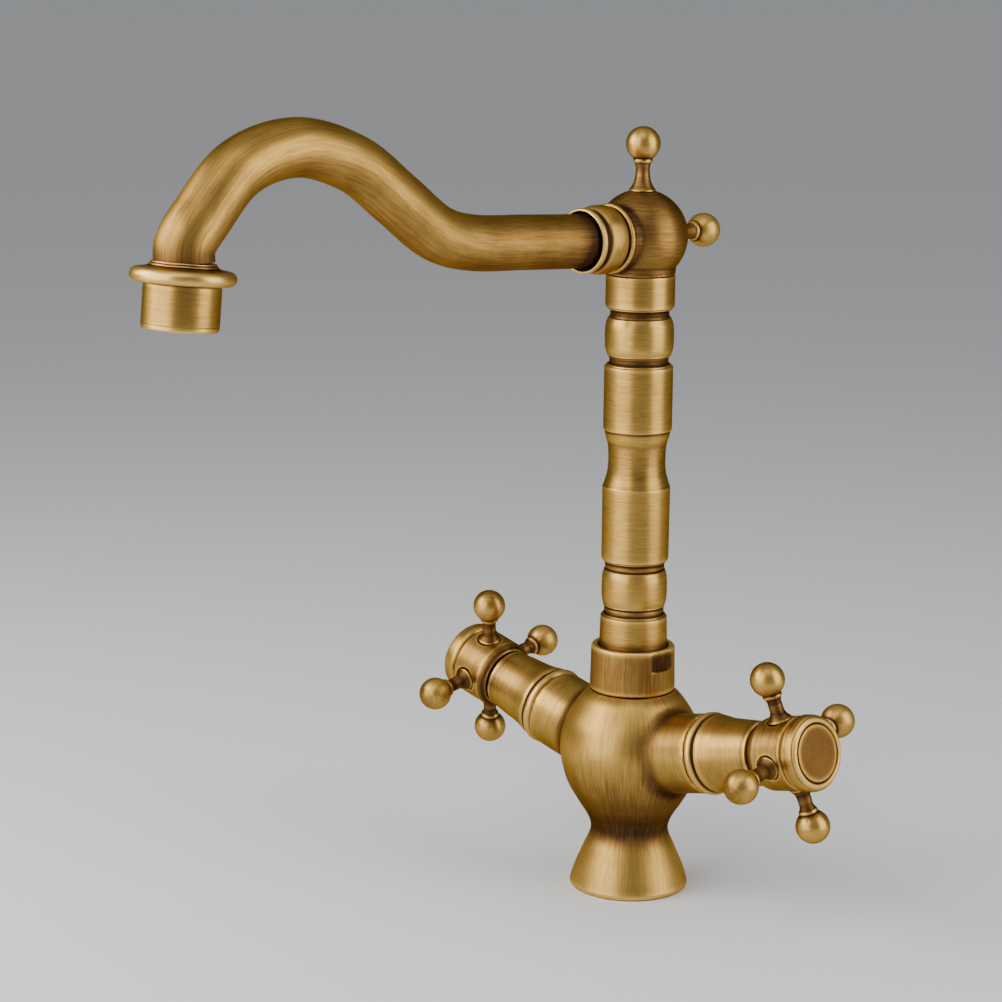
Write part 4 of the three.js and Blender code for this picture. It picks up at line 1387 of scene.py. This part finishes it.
@dataclass
class BallElbow(Assembly):
    """The ball elbow with its spout socket, and the two ball finials screwed into it.

    Attributes:
        radius: Radius of the ball.
        neck: Radius where the ball meets the column.
        ring: Radius of the first ring of the socket.
        bore: Radius of the waterway.
        reach: Distance of a finial's ball from the centre.
        ball: Radius of a finial's ball.
        cell: Size of the skin's faces.
    """

    radius: float = 20.0
    neck: float = 14.95
    ring: float = 14.95
    bore: float = 8.0
    reach: float = 39.2
    ball: float = 7.4
    cell: float = 0.5

    def centre(self) -> float:
        """Returns the height of the ball's centre, which the rear finial is level with."""
        low, high = node_box("rear_finial")
        return float(low[2] + high[2]) / 2

    def finial_seats(self) -> tuple[Seat, Seat]:
        """Returns the axes of the top and the rear finial."""
        return upright(self.centre()), Seat((0, 0, self.centre()), (0, 1, 0), (0, 0, 1))

    def casting(self) -> Casting:
        """Blends the socket into the ball and cuts the waterway and the finials' seats.

        Returns:
            The casting.
        """
        h = self.centre()
        joint = node_box("column")[1][2] + 0.3
        tail = node_box("ball_elbow")[0][2]
        ball = Turning([
            (0, tail, 0), (9.6, tail, 0), (9.6, joint, 0), (self.neck - 0.1, joint, 0.25),
            (self.neck, joint + 1.0, 0.3), *bow((0, h), self.radius, -40.5, 90, 26), (0, h + self.radius, 0),
        ], upright())
        socket = Turning([
            (0, 0, 0), (13.9, 0, 0), (13.9, 18.5, 0.4), (self.ring, 19.0, 0.45), (self.ring, 20.2, 0.45),
            (14.3, 20.8, 0.2), (13.0, 20.8, 0), (13.0, 28, 0), (0, 28, 0),
        ], forward(h))
        holes = [
            rod(self.bore, tail - 3, h, upright()),
            Turning([
                (0, -4, 0), (self.bore, -4, 0), (self.bore, 16, 0), (11.7, 16, 0), (11.7, 31, 0), (0, 31, 0),
            ], forward(h)),
        ]
        screw = [(0, 13.4, 0), (2.3, 13.4, 0), (2.3, 18.9, 0), (6.1, 18.9, 0), (6.1, 24, 0), (0, 24, 0)]
        holes += [Turning(screw, seat) for seat in self.finial_seats()]
        return Casting([ball, socket], holes, 0.9)

    def build_elbow(self) -> None:
        """Casts the elbow and dresses it, brushed level round the ball."""
        skin = self.casting().skin("ball_elbow", self.cell)
        points, height, h = skin.points, skin.points[:, 2], self.centre()
        angle = np.arctan2(points[:, 1], points[:, 0])
        near = np.hypot(points[:, 0], height - h)
        away = np.linalg.norm(points - np.array([0, 0, h]), axis=1)
        patina_and_shade = skin.hollows(7, 1.3) + 0.18
        # painted shade round the socket's root and where the column meets the ball; then darker towards the top of
        # the ball
        patina_and_shade += band(-points[:, 1], 16.6, 3.0, 0.12) * (near < 16.5) * (near > 12)
        patina_and_shade += band(height, node_box("column")[1][2] + 0.6, 1.6, 0.25)
        patina_and_shade += np.clip((height - h) / self.radius, 0, 1) * 0.10 * (away > 17)
        self.place("elbow_ball", Surface(
            points, skin.quads.tolist(), strokes(Brush.AROUND, angle, height, self.radius),
            skin.across(np.array([0, 0, 1.0])), np.clip(patina_and_shade, 0, 1),
        ), "ball_elbow")

    def build_finials(self) -> None:
        """Turns the two finials."""
        line = ball_knob(self.radius - 0.8, 5.8, self.reach, self.ball, (2.0, 5.0))
        # painted shade where the stem meets the elbow; the stem and the ball's tip darker
        shade = [
            (self.radius - 0.6, 1.6, 0.35), (self.radius + 5.5, 6.0, 0.16), (self.reach + self.ball, 2.6, 0.2),
        ]
        for label, seat in zip(("top", "rear"), self.finial_seats()):
            self.place(f"finial_{label}", turned(line, seat, Brush.AROUND, 64, shade=shade), f"{label}_finial")

    def build(self) -> None:
        """Builds the elbow and its finials."""
        self.build_elbow()
        self.build_finials()


# ---------------------------------------------------------------- Geometry Nodes


class GrowTree:
    """A Geometry Nodes tree with named inputs, which ends in real geometry with a finish on it."""

    def __init__(self, name: str, inputs: dict[str, str]) -> None:
        """Starts the tree.

        Args:
            name: The tree's name.
            inputs: Kind of each named input, apart from the geometry and the finish.
        """
        self.tree = bpy.data.node_groups.new(name, "GeometryNodeTree")
        self.new, self.link = self.tree.nodes.new, self.tree.links.new
        rows = [("Geometry", "Geometry"), *inputs.items(), ("Finish", "Material")]
        for label, kind in rows:
            self.tree.interface.new_socket(label, in_out="INPUT", socket_type=f"NodeSocket{kind}")
        self.tree.interface.new_socket("Geometry", in_out="OUTPUT", socket_type="NodeSocketGeometry")
        self.given, self.result = self.new("NodeGroupInput"), self.new("NodeGroupOutput")
        self.join = self.new("GeometryNodeJoinGeometry")
        real, paint = self.new("GeometryNodeRealizeInstances"), self.new("GeometryNodeSetMaterial")
        self.link(self.join.outputs["Geometry"], real.inputs["Geometry"])
        self.link(real.outputs["Geometry"], paint.inputs["Geometry"])
        self.link(self.given.outputs["Finish"], paint.inputs["Material"])
        self.link(paint.outputs["Geometry"], self.result.inputs["Geometry"])

    def sums(self, kind: str, a: Socket | float, b: Socket | float = 0.0) -> Socket:
        """Adds one sum.

        Args:
            kind: The operation.
            a: First value.
            b: Second value.

        Returns:
            The result's socket.
        """
        node = self.new("ShaderNodeMath")
        node.operation = kind
        for value, socket in zip((a, b), node.inputs):
            if isinstance(value, Socket):
                self.link(value, socket)
            else:
                socket.default_value = float(value)
        return node.outputs[0]

    def vector(self, **parts: Socket | float) -> Socket:
        """Joins up to three values, named X, Y and Z, into a vector.

        Args:
            **parts: The values.

        Returns:
            The vector's socket.
        """
        node = self.new("ShaderNodeCombineXYZ")
        for axis, value in parts.items():
            if isinstance(value, Socket):
                self.link(value, node.inputs[axis])
            else:
                node.inputs[axis].default_value = value
        return node.outputs[0]

    def grow(self, base: bpy.types.Object, values: dict[str, object]) -> bpy.types.Mesh:
        """Runs the tree on an object.

        Args:
            base: The object that the tree starts from; it is removed.
            values: Value of each named input.

        Returns:
            The new plain mesh.
        """
        modifier = base.modifiers.new("grow", "NODES")
        modifier.node_group = self.tree
        for item in self.tree.interface.items_tree:
            if item.item_type == "SOCKET" and item.in_out == "INPUT" and item.name in values:
                modifier[item.identifier] = values[item.name]
        ready = base.evaluated_get(bpy.context.evaluated_depsgraph_get())
        mesh = bpy.data.meshes.new_from_object(ready)
        bpy.data.objects.remove(base)
        return mesh


class SweepTree(GrowTree):
    """Sweeps a tube along the piece's own line of points."""

    def __init__(self) -> None:
        """Builds the tree with named inputs for the tube's radius, bore and sides."""
        super().__init__("tube_sweep", {"Radius": "Float", "Bore": "Float", "Sides": "Int"})
        curve, length = self.new("GeometryNodeMeshToCurve"), self.new("GeometryNodeSplineParameter")
        self.link(self.given.outputs["Geometry"], curve.inputs["Mesh"])
        route = self.keep("along", curve.outputs["Curve"], length.outputs["Length"])
        for name in ("Radius", "Bore"):
            ring, sweep = self.new("GeometryNodeCurvePrimitiveCircle"), self.new("GeometryNodeCurveToMesh")
            self.link(self.given.outputs[name], ring.inputs["Radius"])
            self.link(self.given.outputs["Sides"], ring.inputs["Resolution"])
            turn = self.keep("around", ring.outputs["Curve"], length.outputs["Factor"])
            self.link(route, sweep.inputs["Curve"])
            self.link(turn, sweep.inputs["Profile Curve"])
            self.link(sweep.outputs["Mesh"], self.join.inputs["Geometry"])

    def keep(self, name: str, geometry: Socket, value: Socket) -> Socket:
        """Stores a value on each point.

        Args:
            name: The value's name.
            geometry: Where it is stored.
            value: The value.

        Returns:
            The geometry's socket.
        """
        node = self.new("GeometryNodeStoreNamedAttribute")
        node.data_type, node.domain = "FLOAT", "POINT"
        node.inputs["Name"].default_value = name
        self.link(geometry, node.inputs["Geometry"])
        self.link(value, node.inputs["Value"])
        return node.outputs["Geometry"]


class ScreenTree(GrowTree):
    """Weaves a round wire screen from two crossed layers of wires."""

    def __init__(self) -> None:
        """Builds the tree with named inputs for the screen's radius, wires and wire thickness."""
        super().__init__("wire_screen", {"Radius": "Float", "Wires": "Int", "Wire": "Float"})
        radius, wires, thick = (self.given.outputs[name] for name in ("Radius", "Wires", "Wire"))
        pitch = self.sums("DIVIDE", self.sums("MULTIPLY", radius, 2.0), wires)
        row = self.new("GeometryNodeMeshLine")
        row.mode = "OFFSET"
        first = self.sums("SUBTRACT", self.sums("MULTIPLY", pitch, 0.5), radius)
        self.link(wires, row.inputs["Count"])
        self.link(self.vector(X=first), row.inputs["Start Location"])
        self.link(self.vector(X=pitch), row.inputs["Offset"])
        place, split = self.new("GeometryNodeInputPosition"), self.new("ShaderNodeSeparateXYZ")
        self.link(place.outputs[0], split.inputs[0])
        x = split.outputs["X"]
        square = self.sums("SUBTRACT", self.sums("MULTIPLY", radius, radius), self.sums("MULTIPLY", x, x))
        length = self.sums("MULTIPLY", self.sums("SQRT", self.sums("MAXIMUM", square, 0.0)), 2.0)
        wire = self.new("GeometryNodeMeshCylinder")
        wire.inputs["Vertices"].default_value = 8
        wire.inputs["Depth"].default_value = 1.0
        self.link(thick, wire.inputs["Radius"])
        lay = self.new("GeometryNodeInstanceOnPoints")
        lay.inputs["Rotation"].default_value = (math.radians(90), 0, 0)
        self.link(row.outputs["Mesh"], lay.inputs["Points"])
        self.link(wire.outputs["Mesh"], lay.inputs["Instance"])
        self.link(self.vector(X=1.0, Y=1.0, Z=length), lay.inputs["Scale"])
        cross = self.new("GeometryNodeTransform")
        cross.inputs["Rotation"].default_value = (0, 0, math.radians(90))
        self.link(self.vector(Z=thick), cross.inputs["Translation"])
        self.link(lay.outputs["Instances"], cross.inputs["Geometry"])
        self.link(lay.outputs["Instances"], self.join.inputs["Geometry"])
        self.link(cross.outputs["Geometry"], self.join.inputs["Geometry"])


# ---------------------------------------------------------------- spout


@dataclass
class SwanNeck(Assembly):
    """The bent spout tube, the nut that holds it and the flange and aerator at its end.

    Attributes:
        height: Height of the spout's axis at the elbow.
        radius: Outer radius of the tube.
        bore: Inner radius of the tube.
        crest: Height of the centreline at its highest.
        reach: Distance of the outlet from the upright axis.
        outlet_top: Height of the tube's end.
        tilt: Outward tilt of the outlet, in degrees.
        flange: Radius of the outlet's flange.
        housing: Radius of the aerator housing.
        mouth: Radius inside which the nut is painted almost black, as the shade in its mouth.
        length: Length of the outlet below the tube.
    """

    height: float
    radius: float = 11.4
    bore: float = 10.0
    crest: float = 337.0
    reach: float = 243.0
    outlet_top: float = 298.0
    tilt: float = 5.5
    flange: float = 19.88
    housing: float = 14.6
    mouth: float = 12.7
    length: float = 25.5

    def outlet(self) -> Seat:
        """Returns the outlet's axis, with heights running up to the tube's end."""
        lean = math.radians(self.tilt)
        return Seat((0, -self.reach, self.outlet_top), (0, math.sin(lean), math.cos(lean)), (1, 0, 0))

    def route(self) -> np.ndarray:
        """Returns points along the tube's centreline, from the elbow to the outlet."""
        h, rise, lean = self.height, self.crest - self.height, math.radians(self.tilt)
        line = flowing([
            (16.3, h), (39.8, h + 0.3), (70, h + 1.9), (99, h + 3.7), (119, h + 9.2), (140, h + rise * 0.52),
            (162, h + rise * 0.84), (190, self.crest), (217, h + rise * 0.86), (self.reach - 7, h + rise * 0.46),
            (self.reach - 6 * math.sin(lean), self.outlet_top + 6 * math.cos(lean)), (self.reach, self.outlet_top),
        ], 16)
        return np.array([(0, -reach, height) for reach, height, _ in line])

    def tube_mesh(self, route: np.ndarray) -> bpy.types.Mesh:
        """Sweeps the tube along its route and closes both its ends.

        Args:
            route: Points along the centreline.

        Returns:
            The mesh.
        """
        line = bpy.data.meshes.new("spout_route")
        line.from_pydata((route * MM).tolist(), [(i, i + 1) for i in range(len(route) - 1)], [])
        mesh = SweepTree().grow(linked("spout_route", line), {
            "Radius": self.radius * MM, "Bore": self.bore * MM, "Sides": 96,
            "Finish": self.finishes.by_slot[Slot.BRASS.value],
        })
        shell = bmesh.new()
        shell.from_mesh(mesh)
        for end in (Vector(route[0]), Vector(route[-1])):
            open_edges = [edge for edge in shell.edges if edge.is_boundary]
            rim = [edge for edge in open_edges if (edge.verts[0].co / MM - end).length < self.radius * 1.1]
            bmesh.ops.bridge_loops(shell, edges=rim)
        bmesh.ops.recalc_face_normals(shell, faces=shell.faces)
        shell.to_mesh(mesh)
        shell.free()
        return mesh

    def build_tube(self) -> None:
        """Dresses the swept tube, brushed along its length, with painted shade at its ends and underneath."""
        route = self.route()
        mesh = self.tube_mesh(route)
        count = len(mesh.vertices)
        along, around, place = np.empty(count), np.empty(count), np.empty(count * 3)
        mesh.attributes["along"].data.foreach_get("value", along)
        mesh.attributes["around"].data.foreach_get("value", around)
        mesh.vertices.foreach_get("co", place)
        place, along = place.reshape(-1, 3) / MM, along / MM
        nearest = np.array([np.argmin(((route - p) ** 2).sum(1)) for p in place])
        # painted shade at the outlet end and just outside the nut, and on the underside below
        patina_and_shade = 0.54 + band(along, float(along.max()), 5.0, 0.22)
        patina_and_shade += band(along, 22.0, 6.5, 0.38) + band(along, 30.0, 55.0, 0.09)
        patina_and_shade += np.clip(-(place - route[nearest])[:, 2] / self.radius, 0, 1) * 0.12
        self.place("swan_neck", Surface(
            place, [list(face.vertices) for face in mesh.polygons],
            strokes(Brush.ALONG, around * 2 * math.pi, along, self.radius),
            unit(np.gradient(route, axis=0))[nearest], np.clip(patina_and_shade, 0, 1),
        ), "spout_tube")

    def build_nut(self) -> None:
        """Turns the beaded nut that holds the tube."""
        seat = forward(self.height)
        line = rounded([
            (13.3, 21.1, 0), (13.6, 21.1, 0.1), (13.5, 22.0, 0.3), (14.2, 22.6, 0.3),
            *flowing([(14.3, 22.9), (14.65, 24.6), (14.72, 26.6), (14.5, 28.8), (14.0, 30.7), (13.6, 31.4)], 5),
            (13.05, 31.9, 0.25), (12.95, 32.9, 0.4), (13.1, 34.0, 0.25), (13.85, 34.6, 0.4), (13.9, 35.8, 0.5),
            (13.5, 36.7, 0.4), (12.75, 36.8, 0.3), (12.0, 35.4, 0.4), (11.75, 34.5, 0), (11.75, 30.8, 0),
            (13.3, 30.8, 0),
        ], True, 0.5)
        # painted shade where the nut meets the socket's ring, and patina in its groove
        surface = turned(line, seat, Brush.AROUND, 112, True, [(21.6, 0.9, 0.4), (32.9, 1.1, 0.3)])
        surface.darken(0.12)
        local = seat.into(surface.points)
        # painted shade: the inside of the nut's mouth is painted almost black
        surface.patina_and_shade[np.hypot(local[:, 0], local[:, 1]) < self.mouth] = 0.95
        self.place("beaded_nut", surface, "spout_nut")

    def build_flange(self) -> None:
        """Turns the ringed flange at the tube's end."""
        r = self.flange
        line = rounded([
            (8, 2, 0), (8.9, 2, 0), (8.9, -0.4, 0), (12.05, -0.4, 0.25), (12.35, -0.75, 0.25), (12.1, -1.15, 0.15),
            (12.75, -1.3, 0.2), (13.1, -1.7, 0.25), (12.95, -2.1, 0.15), (14.4, -2.45, 0.3), (16.0, -2.85, 0.5),
            *bow((r - 2.7, -5.65), 2.7, 84, -84, 20), (15.4, -8.4, 0.3), (12.3, -8.4, 0), (12.3, -14.4, 0),
            (8, -14.4, 0),
        ], True, 0.5)
        # patina in the two rings' grooves, painted shade where the housing meets the flange
        shade = [(-1.1, 0.35, 0.15), (-2.2, 0.4, 0.2), (-8.4, 0.7, 0.2)]
        surface = turned(line, self.outlet(), Brush.AROUND, 128, True, shade)
        self.place("outlet_ring", surface, "outlet_flange")

    def build_housing(self) -> None:
        """Turns the aerator housing."""
        r, end = self.housing, -self.length
        line = rounded([
            (12.6, -8.7, 0), (r - 0.1, -8.7, 0.1), (r, -9.5, 0.2), (r, end + 2.3, 0.2), (r - 0.12, end + 2.05, 0.1),
            (r, end + 1.8, 0.2), (r - 0.1, end + 0.7, 0.6), (r - 0.7, end, 0.5), (11.3, end, 0.3),
            (11.3, end + 0.3, 0), (12.6, end + 1.3, 0),
        ], True, 0.6)
        # painted shade under the flange, and patina in the groove
        surface = turned(line, self.outlet(), Brush.AROUND, 128, True, [(-9.0, 1.1, 0.22), (end + 2.05, 0.3, 0.1)])
        self.place("aerator_sleeve", surface, "aerator_housing")

    def build(self) -> None:
        """Builds every piece of the spout."""
        self.build_tube()
        self.build_nut()
        self.build_flange()
        self.build_housing()


# ---------------------------------------------------------------- aerator screen


@dataclass
class AeratorScreen(Assembly):
    """The wire screen in the mouth of the aerator.

    Attributes:
        seat: The outlet's axis.
        radius: Radius of the screen.
        drop: How far below the tube's end it lies.
        wires: Number of wires each way.
        wire: Radius of a wire.
    """

    seat: Seat
    radius: float = 10.6
    drop: float = 22.6
    wires: int = 15
    wire: float = 0.16

    def build(self) -> None:
        """Weaves the screen and sets it in the outlet."""
        mesh = ScreenTree().grow(linked("screen_base", bpy.data.meshes.new("screen_base")), {
            "Radius": self.radius * MM, "Wires": self.wires, "Wire": self.wire * MM,
            "Finish": self.finishes.by_slot[Slot.STEEL.value],
        })
        place = np.empty(len(mesh.vertices) * 3)
        mesh.vertices.foreach_get("co", place)
        local = place.reshape(-1, 3) / MM - np.array([0, 0, self.drop])
        mesh.vertices.foreach_set("co", (self.seat.out(local) * MM).ravel())
        piece = linked("aerator_screen", mesh)
        self.finishes.dress(piece, Slot.STEEL)
        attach(piece, self.body)
        LOG.info("aerator_screen: %d faces, woven", len(mesh.polygons))


# ---------------------------------------------------------------- carried pieces


@dataclass
class Fittings:
    """The inner pieces, which keep their CAD shape and get their finish here.

    Attributes:
        finishes: The finishes.
    """

    finishes: Finishes

    def build(self) -> None:
        """Dresses every CAD node that no piece stands for."""
        slots = {row["node"]: row["material_slot"] for row in frame["record"]["subparts"]}
        for name, node in frame["nodes"].items():
            if node.hide_render:
                continue
            node.data.materials.clear()
            node.data.materials.append(self.finishes.by_slot[slots[name]])
            LOG.info("%s: CAD shape, %s", name, slots[name])


# ---------------------------------------------------------------- studio


@dataclass
class Studio:
    """The pale floor, the soft lights and the camera. Lengths are in metres.

    Attributes:
        azimuth: Direction of the camera from the upright axis, in degrees from -Y towards +X.
        distance: Level distance of the camera from the axis.
        height: Height of the camera.
        turn: How far the view is turned from the axis, in degrees.
        dip: How far the view looks down, in degrees.
        roll: Roll of the camera, in degrees.
        lens: Focal length in millimetres on a 36 mm sensor.
        aim: Height at which the soft lights are aimed.
        floor: Half the floor's width.
    """

    azimuth: float = 43.44
    distance: float = 1.1461
    height: float = 0.4123
    turn: float = 2.95
    dip: float = 11.736
    roll: float = 0.584
    lens: float = 96.08
    aim: float = 0.17
    floor: float = 40.0

    def around(self, bearing: float, away: float, height: float) -> Vector:
        """Finds a place round the faucet.

        Args:
            bearing: Its direction, counted from the camera's, in degrees to the right.
            away: Its level distance from the upright axis.
            height: Its height.

        Returns:
            The place.
        """
        angle = math.radians(self.azimuth + bearing)
        return Vector((away * math.sin(angle), -away * math.cos(angle), height))

    def build_camera(self) -> None:
        """Places the camera."""
        bearing = math.radians(self.azimuth + self.turn)
        dip, roll = math.radians(self.dip), math.radians(self.roll)
        ahead = Vector((-math.sin(bearing) * math.cos(dip), math.cos(bearing) * math.cos(dip), -math.sin(dip)))
        right = Vector((math.cos(bearing), math.sin(bearing), 0))
        up = right.cross(ahead)
        right, up = right * math.cos(roll) + up * math.sin(roll), up * math.cos(roll) - right * math.sin(roll)
        data = bpy.data.cameras.new("studio_camera")
        data.lens, data.sensor_width, data.clip_end = self.lens, 36.0, 100.0
        camera = linked("studio_camera", data)
        place = Matrix.Translation(self.around(0.0, self.distance, self.height))
        camera.matrix_world = place @ Matrix((right, up, -ahead)).transposed().to_4x4()
        bpy.context.scene.camera = camera

    def softbox(
        self, name: str, bearing: float, rise: float, away: float, size: tuple[float, float], power: float
    ) -> None:
        """Adds a soft light that faces the middle of the faucet.

        Args:
            name: The light's name.
            bearing: Its direction, counted from the camera's, in degrees to the right.
            rise: Its height above the point that it is aimed at.
            away: Its level distance.
            size: Its width and height.
            power: Its power in watts.
        """
        data = bpy.data.lights.new(name, "AREA")
        data.shape, data.energy = "RECTANGLE", power
        data.size, data.size_y = size
        lamp = linked(name, data)
        lamp.visible_camera = False
        lamp.location = self.around(bearing, away, self.aim + rise)
        lamp.rotation_mode = "QUATERNION"
        lamp.rotation_quaternion = (Vector((0, 0, self.aim)) - lamp.location).to_track_quat("-Z", "Y")

    def build_floor(self) -> None:
        """Lays the pale floor."""
        mesh = bpy.data.meshes.new("studio_floor")
        corners = [(x * self.floor, y * self.floor, 0) for x, y in ((-1, -1), (1, -1), (1, 1), (-1, 1))]
        mesh.from_pydata(corners, [], [(0, 1, 2, 3)])
        floor = linked("studio_floor", mesh)
        material = bpy.data.materials.new("studio_floor")
        material.use_nodes = True
        shader = material.node_tree.nodes["Principled BSDF"]
        shader.inputs["Base Color"].default_value = (0.72, 0.72, 0.71, 1)
        shader.inputs["Roughness"].default_value = 0.9
        mesh.materials.append(material)

    def build(self) -> None:
        """Builds the whole studio."""
        self.build_camera()
        self.build_floor()
        world = bpy.data.worlds.new("studio")
        world.use_nodes = True
        background = world.node_tree.nodes["Background"]
        background.inputs["Color"].default_value = (0.80, 0.84, 0.90, 1)
        background.inputs["Strength"].default_value = 0.30
        bpy.context.scene.world = world
        glow = linked("ceiling_glow", bpy.data.lights.new("ceiling_glow", "SUN"))
        glow.data.energy, glow.data.angle = 0.45, math.radians(80)
        self.softbox("left_softbox", -52, 0.22, 0.85, (0.85, 1.2), 10.8)
        self.softbox("side_softbox", -84, 0.45, 0.8, (0.5, 0.6), 4.5)
        self.softbox("right_softbox", 68, 0.22, 0.85, (0.65, 1.2), 8.2)
        self.softbox("top_softbox", -10, 1.5, 0.7, (0.9, 0.9), 4)


# ---------------------------------------------------------------- the whole faucet


def arm_seat(label: str) -> Seat:
    """Finds a valve arm's axis from its handle's joint, which lies at the spokes' height.

    Args:
        label: Hot or cold.

    Returns:
        The arm's seat, with its side towards the first spoke.
    """
    joints = frame["record"]["behaviour"]["joints"]
    joint = next(row for row in joints if row["name"] == f"{label}_handle_turn")
    place = np.array(joint["pos_m"]) / MM
    axis = np.array(joint["axis"], float)
    if axis[0] * place[0] < 0:
        axis = -axis
    axis /= np.linalg.norm(axis)
    low, high = node_box(f"{label}_spoke_1")
    side = (low + high) / 2 - place
    return Seat(tuple(place - axis * SPOKE_PLANE), tuple(axis), tuple(side))


def main() -> None:
    """Builds the faucet in order."""
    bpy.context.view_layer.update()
    Studio().build()
    finishes = Finishes()
    hot, cold = arm_seat("hot"), arm_seat("cold")
    BodyCasting(finishes, "mixer", (hot, cold)).build()
    TurnedColumn(finishes, "spout").build()
    ColumnNut(finishes, "mixer").build()
    for label, seat in (("hot", hot), ("cold", cold)):
        BonnetSleeve(finishes, "mixer", label, seat).build()
        CrossHandle(finishes, f"{label}_handle", label, seat).build()
    elbow = BallElbow(finishes, "spout")
    elbow.build()
    spout = SwanNeck(finishes, "spout", elbow.centre())
    spout.build()
    AeratorScreen(finishes, "spout", spout.outlet()).build()
    Fittings(finishes).build()


if __name__ == "__main__":
    main()
